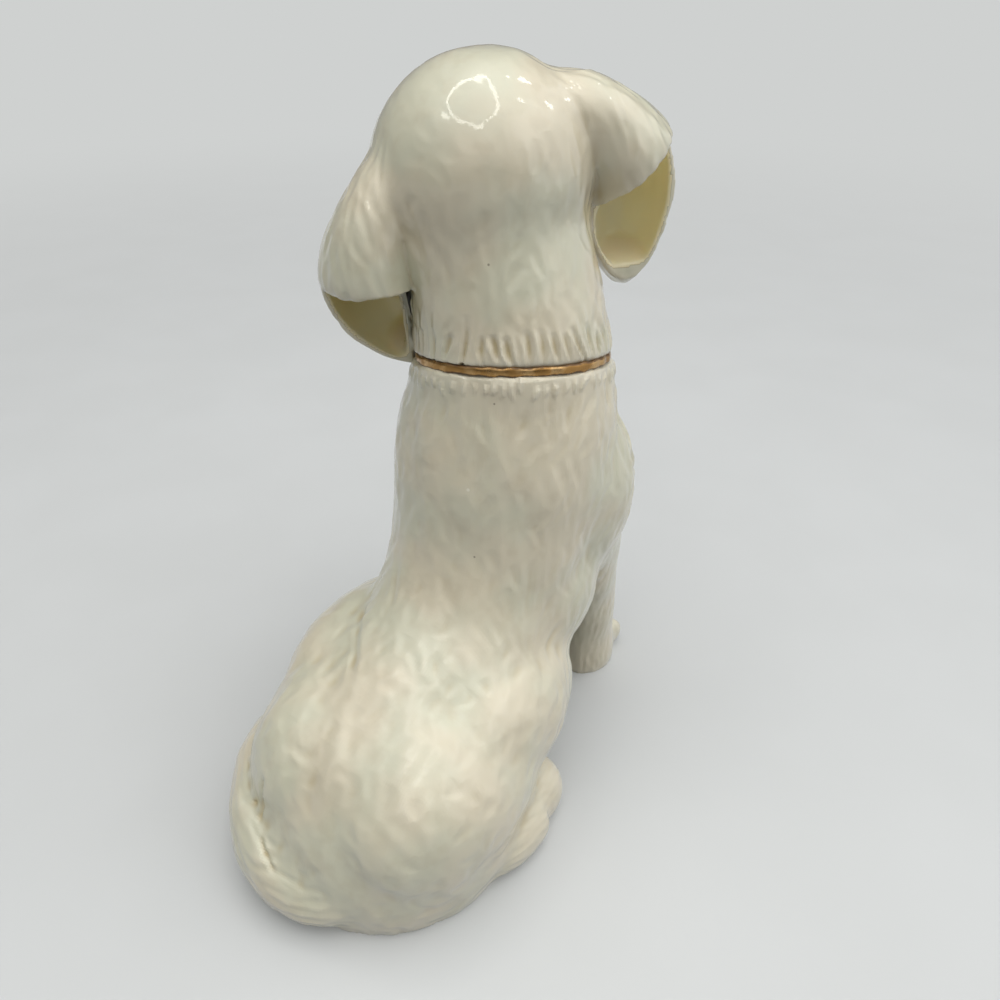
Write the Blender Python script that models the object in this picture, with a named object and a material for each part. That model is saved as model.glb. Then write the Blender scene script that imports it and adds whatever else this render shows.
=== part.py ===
"""A seated porcelain puppy, slip-cast in ten pieces that are luted together and glazed ivory.

Metres, +Z up. The puppy faces -Y, its left side is +X, and the origin is on the floor
under the middle of its rump. Each casting is its own object. Where two castings meet, the
smaller one is trimmed to the larger one's outline, with a thin joint of slip between them.
"""

import math

import bmesh
import bpy
from mathutils import Matrix, Vector

MM = 0.001

# Sizes shared by the castings
WALL = 3.4 * MM
FOOT_THICKNESS = 4.2 * MM
SLIP_JOINT = 0.3 * MM
VENT_RADIUS = 8.5 * MM
VENT_BACK = 11.0 * MM
CUTTER_REACH = 150.0 * MM

# Neck seam: where the head is luted to the body, with the gold collar in a groove
NECK_BACK = -39.4 * MM
NECK_HEIGHT = 89.4 * MM
NECK_LEAN = 11.0
NECK_SIDE_LEAN = 7.5
NECK_BORE_RADIUS = 11.5 * MM
LIP_RADIUS = 14.2 * MM
LIP_HEIGHT = 3.0 * MM
LIP_ROOT = 4.0 * MM
GROOVE_RADIUS = 17.0 * MM
COLLAR_HEIGHT = 2.2 * MM
COLLAR_THICKNESS = 0.9 * MM
COLLAR_SEGMENTS = 56

# Torso, from the floor up to the neck seam: back, height, half width, half depth
TORSO_SECTIONS = (
    (3.0, -4.0, 24.0, 26.4),
    (3.0, 5.0, 26.6, 28.0),
    (1.5, 16.0, 26.8, 28.8),
    (-3.5, 26.0, 25.0, 29.0),
    (-10.5, 34.0, 21.5, 29.0),
    (-20.0, 40.5, 19.0, 27.2),
    (-27.6, 47.0, 19.2, 23.0),
    (-31.4, 54.0, 20.4, 20.6),
    (-33.8, 62.0, 21.4, 20.0),
    (-35.8, 72.0, 21.8, 20.4),
    (-37.8, 80.0, 21.0, 20.2),
)

# Top of the torso, from the neck seam: back, height, half width, half depth
NECK_ROOT_SECTIONS = (
    (0.2, -3.4, 19.4, 19.4),
    (0.0, 1.6, 18.6, 18.6),
    (-1.1, 7.6, 18.2, 18.2),
)
CHEST_CENTRE = Vector((0.0, -46.0, 58.0)) * MM
CHEST_RADII = Vector((15.0, 13.6, 21.0)) * MM
SHOULDER_CENTRE = Vector((13.8, -44.4, 61.0)) * MM
SHOULDER_RADII = Vector((10.2, 12.4, 20.5)) * MM
FLANK_CENTRE = Vector((10.8, -33.5, 42.5)) * MM
FLANK_RADII = Vector((11.2, 15.0, 17.0)) * MM
HAUNCH_CENTRE = Vector((10.5, 2.5, 19.0)) * MM
HAUNCH_RADII = Vector((17.6, 24.5, 19.6)) * MM
THIGH_CENTRE = Vector((16.4, -11.0, 25.4)) * MM
THIGH_RADII = Vector((12.0, 23.4, 15.6)) * MM
THIGHS_LEAN = Vector((1.8, 0.0, 0.0)) * MM

# Head: the skull's place from the neck seam, and how the head is turned, cocked and nodded
SKULL_LEFT = 8.7 * MM
SKULL_FORWARD = 3.3 * MM
SKULL_RISE = 30.8 * MM
HEAD_TURN = 45.0
HEAD_COCK = 21.6
HEAD_NOD = 2.0
SKULL_RADII = Vector((19.8, 20.4, 19.3)) * MM
CHEEK_CENTRE = Vector((11.0, -6.0, -6.5)) * MM
CHEEK_RADII = Vector((9.0, 12.0, 9.5)) * MM
BROW_CENTRE = Vector((8.0, -13.0, 6.5)) * MM
BROW_RADII = Vector((5.5, 4.6, 3.8)) * MM
LIP_CENTRE = Vector((4.8, -22.6, -9.0)) * MM
LIP_RADII = Vector((6.2, 7.8, 5.8)) * MM
CHIN_CENTRE = Vector((0.0, -19.5, -13.4)) * MM
CHIN_RADII = Vector((6.0, 7.6, 3.4)) * MM
NOSE_CENTRE = Vector((0.0, -28.8, -2.8)) * MM
NOSE_RADII = Vector((4.4, 3.2, 3.3)) * MM
EYE_CENTRE = Vector((8.6, -15.8, 1.0)) * MM
EYE_RADIUS = 3.6 * MM

# Muzzle: back, height, half width, half depth, in the head's own frame
MUZZLE_SECTIONS = (
    (-6.0, -4.5, 13.5, 11.5),
    (-14.0, -5.0, 11.2, 9.4),
    (-20.0, -5.6, 9.4, 7.8),
    (-25.5, -5.8, 8.2, 6.6),
    (-29.2, -5.8, 5.8, 4.8),
)

# Neck part of the head casting, from the neck seam: left, back, height, radius
NECK_SECTIONS = (
    (-1.0, 1.2, -7.4, 18.7),
    (0.0, 0.0, 0.0, 18.5),
    (1.5, -0.8, 7.6, 17.8),
    (3.9, -1.5, 15.6, 17.3),
    (6.7, -2.0, 22.6, 17.8),
    (8.0, -2.1, 28.6, 17.5),
)

# Ear: out, back, height, half thickness, half breadth, in the head's own frame
EAR_SECTIONS = (
    (12.9, 2.2, 7.8, 4.3, 7.2),
    (18.6, 3.4, 3.4, 5.8, 8.8),
    (22.6, 4.0, -1.8, 7.4, 10.0),
    (24.8, 3.2, -7.2, 8.8, 11.0),
    (24.6, 1.6, -12.8, 8.8, 10.8),
    (23.2, -0.2, -18.2, 7.6, 9.4),
    (22.0, -2.0, -23.2, 5.6, 7.0),
    (21.4, -3.8, -27.8, 2.6, 3.4),
)
EAR_SWAY = 0.09
EAR_STRETCH = 0.05
EAR_BEND_START = 4.0
EAR_WALL = 1.2 * MM
EAR_HOLLOW_START = 1
EAR_MOUTH_CORNER = Vector((19.2, 2.0, -10.7)) * MM
EAR_MOUTH_RISE = 20.0

# Foreleg, from the shoulder down to the paw: out, share of the way forward, height,
# half width, half depth
SHOULDER_FORWARD = 45.0 * MM
STANCE = 60.0 * MM
FORELEG_SECTIONS = (
    (13.0, 0.00, 62.0, 7.0, 9.5),
    (13.2, 0.23, 52.0, 7.4, 9.6),
    (12.8, 0.47, 42.0, 6.9, 8.4),
    (12.3, 0.67, 31.0, 6.1, 7.2),
    (12.0, 0.83, 20.0, 5.7, 6.6),
    (11.4, 0.91, 11.0, 6.0, 7.0),
    (10.8, 0.97, 4.0, 6.8, 8.2),
    (10.6, 1.00, -3.0, 6.8, 8.2),
)
PAW_CENTRE = Vector((9.8 * MM, -STANCE - 2.0 * MM, 3.8 * MM))
PAW_RADII = Vector((7.2, 8.4, 6.4)) * MM

# Hind foot, from the hock forward: out, back, height, half width, half height
HIND_FOOT_SECTIONS = (
    (19.0, 9.0, 4.0, 4.2, 5.0),
    (21.0, 4.0, 4.4, 5.8, 6.4),
    (22.4, -2.0, 4.8, 7.2, 7.6),
    (22.2, -8.0, 4.6, 7.6, 7.6),
)
HIND_PAW_CENTRE = Vector((20.4, -12.2, 5.2)) * MM
HIND_PAW_RADII = Vector((8.2, 8.6, 8.6)) * MM

TOE_COUNT = 4
TOE_RADII = Vector((2.5, 4.6, 3.9)) * MM
TOE_FAN = 12.0
TOE_SPREAD = 0.9
FORE_TOES_FORWARD = 0.6
HIND_TOES_FORWARD = 0.2

# Tail, from the rump round the left haunch: left, back, height, half width, half height
TAIL_SECTIONS = (
    (-10.0, 20.0, 8.0, 5.4, 5.4),
    (-2.0, 27.0, 7.0, 6.4, 6.6),
    (8.5, 29.0, 7.4, 6.2, 7.8),
    (18.2, 25.2, 9.2, 5.4, 9.0),
    (25.4, 18.0, 10.4, 4.7, 9.0),
    (30.0, 10.0, 9.2, 4.1, 7.6),
    (32.4, 3.0, 6.8, 3.2, 5.4),
    (33.0, -1.6, 4.6, 1.8, 3.2),
)

# How finely each form is sculpted, how often it is softened, and how many faces it keeps
BODY_VOXEL = 1.3 * MM
HEAD_VOXEL = 0.9 * MM
LIMB_VOXEL = 0.8 * MM
HOLLOW_VOXEL = 2.2 * MM
BODY_SOFTENING = 11
HEAD_SOFTENING = 3
LIMB_SOFTENING = 3
BODY_FACES = 2400
HEAD_FACES = 2300
FORELEG_FACES = 700
HIND_FOOT_FACES = 560
TAIL_FACES = 420
EAR_FACES = 760
HOLLOW_FACES = 300
SECTION_STEPS = 4
RING_POINTS = 28

IVORY = (0.78, 0.74, 0.63, 1.0)
GOLD = (0.72, 0.50, 0.20, 1.0)


def clear_scene():
    """Removes every object, so that the file builds the same from any start."""
    for obj in list(bpy.data.objects):
        bpy.data.objects.remove(obj, do_unlink=True)


def make_material(name, colour, roughness, metallic):
    """A plain Principled material."""
    material = bpy.data.materials.new(name)
    material.use_nodes = True
    shader = material.node_tree.nodes["Principled BSDF"]
    shader.inputs["Base Color"].default_value = colour
    shader.inputs["Roughness"].default_value = roughness
    shader.inputs["Metallic"].default_value = metallic
    return material


def add_object(name, mesh, material=None, helper=False):
    """Links a mesh into the scene. A helper is a cutter or a guide, and isn't part of the model."""
    obj = bpy.data.objects.new(name, mesh)
    bpy.context.scene.collection.objects.link(obj)
    if helper:
        obj.hide_render = True
        obj.display_type = "WIRE"
    if material:
        obj.data.materials.clear()
        obj.data.materials.append(material)
    return obj


def mesh_from(bm, name):
    """Turns a bmesh into a mesh whose faces point outwards."""
    bmesh.ops.recalc_face_normals(bm, faces=bm.faces)
    mesh = bpy.data.meshes.new(name)
    bm.to_mesh(mesh)
    bm.free()
    return mesh


def evaluated_mesh(obj):
    """The object's mesh with its modifiers applied."""
    graph = bpy.context.evaluated_depsgraph_get()
    graph.update()
    return bpy.data.meshes.new_from_object(obj.evaluated_get(graph))


def apply_modifiers(obj):
    """Bakes the object's modifiers into its mesh."""
    mesh = evaluated_mesh(obj)
    obj.modifiers.clear()
    obj.data = mesh
    return obj


def discard(*objects):
    """Removes helpers that have done their work."""
    for obj in objects:
        bpy.data.objects.remove(obj, do_unlink=True)


def mirrored(vector):
    """The same place on the other side of the puppy."""
    return Vector((-vector.x, vector.y, vector.z))


def add_ellipsoid(bm, centre, radii, place=Matrix.Identity(4), turn=0.0):
    """Adds an ellipsoid to the bmesh, turned about its own vertical axis by some degrees."""
    matrix = (
        place
        @ Matrix.Translation(centre)
        @ Matrix.Rotation(math.radians(turn), 4, "Z")
        @ Matrix.Diagonal((*radii, 1.0))
    )
    bmesh.ops.create_icosphere(bm, subdivisions=4, radius=1.0, matrix=matrix)


def add_pair(bm, centre, radii, place=Matrix.Identity(4), turn=0.0):
    """Adds an ellipsoid on each side of the puppy."""
    add_ellipsoid(bm, centre, radii, place, turn)
    add_ellipsoid(bm, mirrored(centre), radii, place, -turn)


def eased(sections, steps=SECTION_STEPS):
    """Sections on a smooth curve through the given ones, by Catmull-Rom interpolation."""
    rows = [sections[0], *sections, sections[-1]]
    found = []
    for i in range(1, len(rows) - 2):
        for step in range(steps):
            t = step / steps
            found.append(
                tuple(
                    0.5
                    * (
                        2 * b
                        + (c - a) * t
                        + (2 * a - 5 * b + 4 * c - d) * t * t
                        + (3 * b - a - 3 * c + d) * t**3
                    )
                    for a, b, c, d in zip(*rows[i - 1 : i + 3])
                )
            )
    return [*found, tuple(sections[-1])]


def ring_matrix(centre, along, across, half_across, half_other):
    """Places a unit circle square to a direction, as an ellipse of the given half sizes."""
    along = along.normalized()
    across = (across - along * across.dot(along)).normalized()
    other = along.cross(across)
    matrix = Matrix.Identity(4)
    columns = (across * half_across, other * half_other, along * half_across, centre)
    for column, vector in enumerate(columns):
        for row in range(3):
            matrix[row][column] = vector[row]
    return matrix


def add_loft(bm, matrices, place=Matrix.Identity(4)):
    """Adds a closed form that runs through the rings, by extruding a disc from each to the next."""
    first = bmesh.ops.create_circle(
        bm, cap_ends=True, segments=RING_POINTS, radius=1.0, matrix=place @ matrices[0]
    )
    cap = next(iter(first["verts"][0].link_faces))
    for before, after in zip(matrices, matrices[1:]):
        grown = bmesh.ops.extrude_face_region(bm, geom=[cap])["geom"]
        verts = [item for item in grown if isinstance(item, bmesh.types.BMVert)]
        cap = next(item for item in grown if isinstance(item, bmesh.types.BMFace))
        step = place @ after @ before.inverted() @ place.inverted()
        bmesh.ops.transform(bm, matrix=step, verts=verts)


def level_rings(sections):
    """Rings that lie level, one above another: back, height, half width, half depth."""
    return [
        ring_matrix(
            Vector((0.0, back, height)) * MM, Vector((0, 0, 1)), Vector((1, 0, 0)),
            half_width * MM, half_depth * MM,
        )
        for back, height, half_width, half_depth in sections
    ]


def path_rings(points, across, half_sizes):
    """Rings that stand square to a path, each of its own half sizes."""
    rings = []
    for i, point in enumerate(points):
        along = points[min(i + 1, len(points) - 1)] - points[max(i - 1, 0)]
        rings.append(ring_matrix(point, along, across, *half_sizes[i]))
    return rings


def sculpted(name, bm, voxel, smoothing, faces, place=Matrix.Identity(4)):
    """Blends the overlapping forms of a bmesh into one skin, and thins it to a number of faces."""
    obj = add_object(name, mesh_from(bm, name), helper=True)
    obj.data.transform(place)
    remesh = obj.modifiers.new("Skin", "REMESH")
    remesh.mode = "VOXEL"
    remesh.voxel_size = voxel
    smooth = obj.modifiers.new("Soften", "SMOOTH")
    smooth.factor = 0.5
    smooth.iterations = round(smoothing)
    apply_modifiers(obj)
    return thinned(obj, faces)


def thinned(obj, faces):
    """Thins a closed mesh to about the given number of triangles."""
    obj.data.calc_loop_triangles()
    thin = obj.modifiers.new("Thin", "DECIMATE")
    thin.ratio = min(1.0, faces / len(obj.data.loop_triangles))
    return apply_modifiers(obj)


def offset_copy(obj, name, distance, faces=None, voxel=None):
    """A copy of a form that stands off from it by a distance, outwards or, if negative, inwards."""
    copy = add_object(name, obj.data.copy(), helper=True)
    push = copy.modifiers.new("Stand off", "DISPLACE")
    push.mid_level = 0.0
    push.strength = distance
    if voxel:
        remesh = copy.modifiers.new("Skin", "REMESH")
        remesh.mode = "VOXEL"
        remesh.voxel_size = voxel
    apply_modifiers(copy)
    return thinned(copy, faces) if faces else copy


def combine(obj, other, operation):
    """Adds a second form to an object, or cuts it out."""
    boolean = obj.modifiers.new(operation.title(), "BOOLEAN")
    boolean.operation = operation
    boolean.solver = "EXACT"
    boolean.object = other
    return apply_modifiers(obj)


def box_helper(name, low, high, place=Matrix.Identity(4)):
    """A box from its lowest to its highest corner."""
    bm = bmesh.new()
    size = high - low
    middle = (low + high) / 2
    matrix = place @ Matrix.Translation(middle) @ Matrix.Diagonal((*size, 1.0))
    bmesh.ops.create_cube(bm, size=1.0, matrix=matrix)
    return add_object(name, mesh_from(bm, name), helper=True)


def tube_helper(name, radius, low, high, place=Matrix.Identity(4)):
    """A cylinder that runs up the local Z axis."""
    bm = bmesh.new()
    matrix = place @ Matrix.Translation((0, 0, (low + high) / 2))
    bmesh.ops.create_cone(
        bm, cap_ends=True, segments=COLLAR_SEGMENTS, radius1=radius, radius2=radius,
        depth=high - low, matrix=matrix,
    )
    return add_object(name, mesh_from(bm, name), helper=True)


def ring_helper(name, inner, outer, low, high, place=Matrix.Identity(4)):
    """A ring of square section round the local Z axis."""
    bm = bmesh.new()
    corners = ((inner, low), (outer, low), (outer, high), (inner, high))
    verts = [bm.verts.new((radius, 0.0, height)) for radius, height in corners]
    edges = [bm.edges.new((verts[i - 1], verts[i])) for i in range(len(verts))]
    bmesh.ops.spin(
        bm, geom=edges, cent=(0, 0, 0), axis=(0, 0, 1), angle=math.tau, steps=COLLAR_SEGMENTS,
        use_merge=True,
    )
    bmesh.ops.transform(bm, matrix=place, verts=bm.verts)
    return add_object(name, mesh_from(bm, name), helper=True)


def neck_frame():
    """The neck seam's own frame: its Z axis runs up the neck, square to the seam."""
    return (
        Matrix.Translation((0.0, NECK_BACK, NECK_HEIGHT))
        @ Matrix.Rotation(math.radians(NECK_SIDE_LEAN), 4, "Y")
        @ Matrix.Rotation(math.radians(NECK_LEAN), 4, "X")
    )


def head_frame():
    """The head's own frame, centred on the skull: the face looks along its -Y."""
    centre = (SKULL_LEFT, NECK_BACK - SKULL_FORWARD, NECK_HEIGHT + SKULL_RISE)
    return (
        Matrix.Translation(centre)
        @ Matrix.Rotation(math.radians(HEAD_TURN), 4, "Z")
        @ Matrix.Rotation(math.radians(HEAD_COCK), 4, "Y")
        @ Matrix.Rotation(math.radians(HEAD_NOD), 4, "X")
    )


def cut_floor(obj):
    """Grinds the underside flat on the floor."""
    reach = CUTTER_REACH
    cutter = box_helper("floor_cutter", Vector((-reach, -reach, -reach)), Vector((reach, reach, 0)))
    combine(obj, cutter, "DIFFERENCE")
    discard(cutter)


def cut_neck_groove(obj):
    """Cuts the collar's groove round the neck seam."""
    half = COLLAR_HEIGHT / 2 + SLIP_JOINT
    middle = SLIP_JOINT / 2
    cutter = ring_helper(
        "groove_cutter", GROOVE_RADIUS, CUTTER_REACH / 4, middle - half, middle + half, neck_frame()
    )
    combine(obj, cutter, "DIFFERENCE")
    discard(cutter)


def body_form():
    """The body's outer form, solid: torso, chest, shoulders and haunches."""
    root = [
        (NECK_BACK / MM + back, NECK_HEIGHT / MM + height, *half_sizes)
        for back, height, *half_sizes in NECK_ROOT_SECTIONS
    ]
    bm = bmesh.new()
    add_loft(bm, level_rings(eased([*TORSO_SECTIONS, *root])))
    add_ellipsoid(bm, CHEST_CENTRE, CHEST_RADII)
    add_pair(bm, SHOULDER_CENTRE, SHOULDER_RADII)
    add_pair(bm, FLANK_CENTRE, FLANK_RADII)
    add_pair(bm, HAUNCH_CENTRE, HAUNCH_RADII)
    add_pair(bm, THIGH_CENTRE, THIGH_RADII, Matrix.Translation(THIGHS_LEAN))
    return sculpted("body_form", bm, BODY_VOXEL, BODY_SOFTENING, BODY_FACES)


def head_form():
    """The head's outer form, solid: neck, skull, cheeks, muzzle, brows, eyes and nose."""
    place = head_frame()
    bm = bmesh.new()
    neck = eased(NECK_SECTIONS)
    seam = Vector((0.0, NECK_BACK, NECK_HEIGHT))
    points = [seam + Vector(row[:3]) * MM for row in neck]
    sizes = [(row[3] * MM, row[3] * MM) for row in neck]
    add_loft(bm, path_rings(points, Vector((1, 0, 0)), sizes))
    add_ellipsoid(bm, Vector(), SKULL_RADII, place)
    add_pair(bm, CHEEK_CENTRE, CHEEK_RADII, place)
    add_pair(bm, BROW_CENTRE, BROW_RADII, place)
    muzzle = eased(MUZZLE_SECTIONS)
    points = [Vector((0.0, row[0], row[1])) * MM for row in muzzle]
    sizes = [(row[2] * MM, row[3] * MM) for row in muzzle]
    add_loft(bm, path_rings(points, Vector((1, 0, 0)), sizes), place)
    add_pair(bm, LIP_CENTRE, LIP_RADII, place)
    add_ellipsoid(bm, CHIN_CENTRE, CHIN_RADII, place)
    add_ellipsoid(bm, NOSE_CENTRE, NOSE_RADII, place)
    add_pair(bm, EYE_CENTRE, Vector((EYE_RADIUS,) * 3), place)
    return sculpted("head_form", bm, HEAD_VOXEL, HEAD_SOFTENING, HEAD_FACES)


def build_body(form, glaze):
    """The hollow body casting: open at the neck, with a registering lip, and vented underneath."""
    body = add_object("body_casting", form.data.copy(), glaze)
    neck = neck_frame()
    reach = CUTTER_REACH
    cut_floor(body)
    above = box_helper("above_neck", Vector((-reach, -reach, 0)), Vector((reach, reach, reach)), neck)
    combine(body, above, "DIFFERENCE")
    cut_neck_groove(body)
    lip = tube_helper("neck_lip", LIP_RADIUS, -LIP_ROOT, LIP_HEIGHT, neck)
    combine(body, lip, "UNION")
    hollow = offset_copy(form, "body_hollow", -WALL, HOLLOW_FACES, voxel=HOLLOW_VOXEL)
    low = Vector((-reach, -reach, -reach))
    foot = box_helper("foot_keeper", low, Vector((reach, reach, FOOT_THICKNESS)))
    combine(hollow, foot, "DIFFERENCE")
    seat = Vector((-reach, -reach, -2 * LIP_ROOT))
    neck_keeper = box_helper("neck_keeper", seat, Vector((reach, reach, reach)), neck)
    combine(hollow, neck_keeper, "DIFFERENCE")
    combine(body, hollow, "DIFFERENCE")
    bore = tube_helper("neck_bore", NECK_BORE_RADIUS, -3 * LIP_ROOT, 2 * LIP_HEIGHT, neck)
    combine(body, bore, "DIFFERENCE")
    vent_place = Matrix.Translation((0, VENT_BACK, 0))
    vent = tube_helper("vent_cutter", VENT_RADIUS, -FOOT_THICKNESS, 2 * FOOT_THICKNESS, vent_place)
    combine(body, vent, "DIFFERENCE")
    discard(above, lip, hollow, foot, neck_keeper, bore, vent)
    return body


def build_head(form, glaze):
    """The hollow head casting: open at the neck, where it sits over the body's lip."""
    head = add_object("head_casting", form.data.copy(), glaze)
    neck = neck_frame()
    reach = CUTTER_REACH
    low = Vector((-reach, -reach, -reach))
    below = box_helper("below_neck", low, Vector((reach, reach, SLIP_JOINT)), neck)
    combine(head, below, "DIFFERENCE")
    cut_neck_groove(head)
    hollow = offset_copy(form, "head_hollow", -WALL, HOLLOW_FACES, voxel=HOLLOW_VOXEL)
    seat = Vector((reach, reach, 2 * LIP_ROOT))
    keeper = box_helper("neck_keeper", low, seat, neck)
    combine(hollow, keeper, "DIFFERENCE")
    combine(head, hollow, "DIFFERENCE")
    bore = tube_helper("neck_bore", NECK_BORE_RADIUS, -LIP_ROOT, 3 * LIP_ROOT, neck)
    combine(head, bore, "DIFFERENCE")
    rebate_top = LIP_HEIGHT + SLIP_JOINT
    rebate = tube_helper("rebate", LIP_RADIUS + SLIP_JOINT, -LIP_ROOT, rebate_top, neck)
    combine(head, rebate, "DIFFERENCE")
    discard(below, hollow, keeper, bore, rebate)
    return head


def build_collar(gold):
    """The gold collar: a thin ring in the groove round the neck seam."""
    inner = GROOVE_RADIUS + SLIP_JOINT
    middle = SLIP_JOINT / 2
    collar = ring_helper(
        "gold_collar", inner, inner + COLLAR_THICKNESS, middle - COLLAR_HEIGHT / 2,
        middle + COLLAR_HEIGHT / 2, neck_frame(),
    )
    return as_casting(collar, gold)


def build_ear(name, side, trims, wall_trim, glaze):
    """A hanging ear: a thin pouch whose lower back is cut away, up to a rim that rises outwards.

    Both ears sway to the puppy's left, because they hang plumb from a head that is cocked,
    and the raised one hangs a little longer. The pouch has a wall of its own beside the neck.
    """
    place = head_frame()
    rows = []
    for out, back, height, *half_sizes in EAR_SECTIONS:
        hang = max(0.0, EAR_BEND_START - height)
        bent = (side * out + EAR_SWAY * hang, back, height + side * EAR_STRETCH * hang)
        rows.append((*bent, *half_sizes))
    rows = eased(rows)
    points = [Vector(row[:3]) * MM for row in rows]
    across = Vector((0, 1, 0))
    sizes = [(row[4] * MM, row[3] * MM) for row in rows]
    bm = bmesh.new()
    add_loft(bm, path_rings(points, across, sizes), place)
    ear = sculpted(name, bm, LIMB_VOXEL, LIMB_SOFTENING, EAR_FACES)
    bm = bmesh.new()
    start = EAR_HOLLOW_START * SECTION_STEPS
    hollow_sizes = [
        (max(a - EAR_WALL, EAR_WALL / 4), max(b - EAR_WALL, EAR_WALL / 4)) for a, b in sizes
    ]
    add_loft(bm, path_rings(points, across, hollow_sizes)[start:], place)
    hollow = sculpted("ear_hollow", bm, LIMB_VOXEL, LIMB_SOFTENING, EAR_FACES // 2)
    combine(hollow, wall_trim, "DIFFERENCE")
    combine(ear, hollow, "DIFFERENCE")
    corner = Vector((side * EAR_MOUTH_CORNER.x, EAR_MOUTH_CORNER.y, EAR_MOUTH_CORNER.z))
    rise = Matrix.Rotation(math.radians(-side * EAR_MOUTH_RISE), 4, "Y")
    reach = CUTTER_REACH
    mouth = box_helper(
        "ear_mouth", Vector((-reach, 0, -reach)), Vector((reach, reach, 0)),
        place @ Matrix.Translation(corner) @ rise,
    )
    combine(ear, mouth, "DIFFERENCE")
    for trim in trims:
        combine(ear, trim, "DIFFERENCE")
    discard(hollow, mouth)
    return as_casting(ear, glaze)


def as_casting(obj, glaze):
    """Turns a finished helper into a visible casting."""
    obj.hide_render = False
    obj.display_type = "TEXTURED"
    obj.data.materials.clear()
    obj.data.materials.append(glaze)
    return obj


def add_toes(bm, side, centre, radii, forward):
    """Adds the toes that fan out in a paw, some share of its half length forward of its middle."""
    for toe in range(TOE_COUNT):
        angle = math.radians((toe - (TOE_COUNT - 1) / 2) * 2 * TOE_FAN)
        spot = Vector((
            side * centre.x + math.sin(angle) * radii.x * TOE_SPREAD,
            centre.y - math.cos(angle) * radii.y * forward,
            TOE_RADII.z * 0.9,
        ))
        add_ellipsoid(bm, spot, TOE_RADII, turn=math.degrees(angle) * 0.5)


def build_foreleg(name, side, trim, glaze):
    """A front leg with its paw, trimmed to the chest."""
    rows = eased([(side * row[0], *row[1:]) for row in FORELEG_SECTIONS])
    points = [
        Vector((out * MM, -SHOULDER_FORWARD - share * (STANCE - SHOULDER_FORWARD), height * MM))
        for out, share, height, *_ in rows
    ]
    sizes = [(row[3] * MM, row[4] * MM) for row in rows]
    bm = bmesh.new()
    add_loft(bm, path_rings(points, Vector((1, 0, 0)), sizes))
    add_ellipsoid(bm, Vector((side * PAW_CENTRE.x, PAW_CENTRE.y, PAW_CENTRE.z)), PAW_RADII)
    add_toes(bm, side, PAW_CENTRE, PAW_RADII, FORE_TOES_FORWARD)
    leg = sculpted(name, bm, LIMB_VOXEL, LIMB_SOFTENING, FORELEG_FACES)
    cut_floor(leg)
    combine(leg, trim, "DIFFERENCE")
    return as_casting(leg, glaze)


def build_hind_foot(name, side, trims, glaze):
    """A hind foot, from the hock to the toes, trimmed to the haunch."""
    rows = eased([(side * row[0], *row[1:]) for row in HIND_FOOT_SECTIONS])
    points = [Vector(row[:3]) * MM for row in rows]
    sizes = [(row[3] * MM, row[4] * MM) for row in rows]
    bm = bmesh.new()
    add_loft(bm, path_rings(points, Vector((1, 0, 0)), sizes))
    centre = Vector((side * HIND_PAW_CENTRE.x, HIND_PAW_CENTRE.y, HIND_PAW_CENTRE.z))
    add_ellipsoid(bm, centre, HIND_PAW_RADII)
    add_toes(bm, side, HIND_PAW_CENTRE, HIND_PAW_RADII, HIND_TOES_FORWARD)
    foot = sculpted(name, bm, LIMB_VOXEL, LIMB_SOFTENING, HIND_FOOT_FACES)
    cut_floor(foot)
    for trim in trims:
        combine(foot, trim, "DIFFERENCE")
    return as_casting(foot, glaze)


def build_tail(trim, glaze):
    """The tail, curled round the left haunch on the floor."""
    rows = eased(TAIL_SECTIONS)
    points = [Vector(row[:3]) * MM for row in rows]
    sizes = [(row[4] * MM, row[3] * MM) for row in rows]
    bm = bmesh.new()
    add_loft(bm, path_rings(points, Vector((0, 0, 1)), sizes))
    tail = sculpted("tail", bm, LIMB_VOXEL, LIMB_SOFTENING, TAIL_FACES)
    cut_floor(tail)
    combine(tail, trim, "DIFFERENCE")
    return as_casting(tail, glaze)


def shade(obj):
    """Shades the rounded surfaces smooth and keeps the ground and cut edges crisp."""
    obj.data.shade_smooth()
    obj.data.set_sharp_from_angle(angle=math.radians(40))


def main():
    """Builds the castings in the order in which they are luted together."""
    clear_scene()
    glaze = make_material("ivory_glaze", IVORY, 0.12, 0.0)
    gold = make_material("burnished_gold", GOLD, 0.25, 1.0)
    torso = body_form()
    skull = head_form()
    body_trim = offset_copy(torso, "body_trim", SLIP_JOINT)
    head_trim = offset_copy(skull, "head_trim", SLIP_JOINT)
    ear_wall_trim = offset_copy(skull, "ear_wall_trim", SLIP_JOINT + EAR_WALL)
    castings = [build_body(torso, glaze), build_head(skull, glaze), build_collar(gold)]
    tail = build_tail(body_trim, glaze)
    tail_trim = offset_copy(tail, "tail_trim", SLIP_JOINT)
    for name, side in (("left", 1), ("right", -1)):
        ear_trims = (head_trim, body_trim)
        castings.append(build_ear(f"{name}_ear", side, ear_trims, ear_wall_trim, glaze))
        castings.append(build_foreleg(f"{name}_foreleg", side, body_trim, glaze))
        castings.append(build_hind_foot(f"{name}_hind_foot", side, (body_trim, tail_trim), glaze))
    discard(torso, skull, body_trim, head_trim, ear_wall_trim, tail_trim)
    for casting in [*castings, tail]:
        shade(casting)


if __name__ == "__main__":
    main()
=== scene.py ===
"""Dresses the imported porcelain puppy: its glazed skin with modelled fur, its gold and its foot.

The castings are modelled again with their coat, from the same sizes as the solid part. They are
blended into two skins, one above and one below the neck seam, because glaze runs over every
other joint. Each skin is then parted into its castings, which keep the skin's shading.
Metres, +Z up. The puppy faces -Y and its left side is +X.
"""

import logging
import math
import sys
from collections.abc import Callable, Sequence
from dataclasses import dataclass
from enum import Enum

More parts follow.
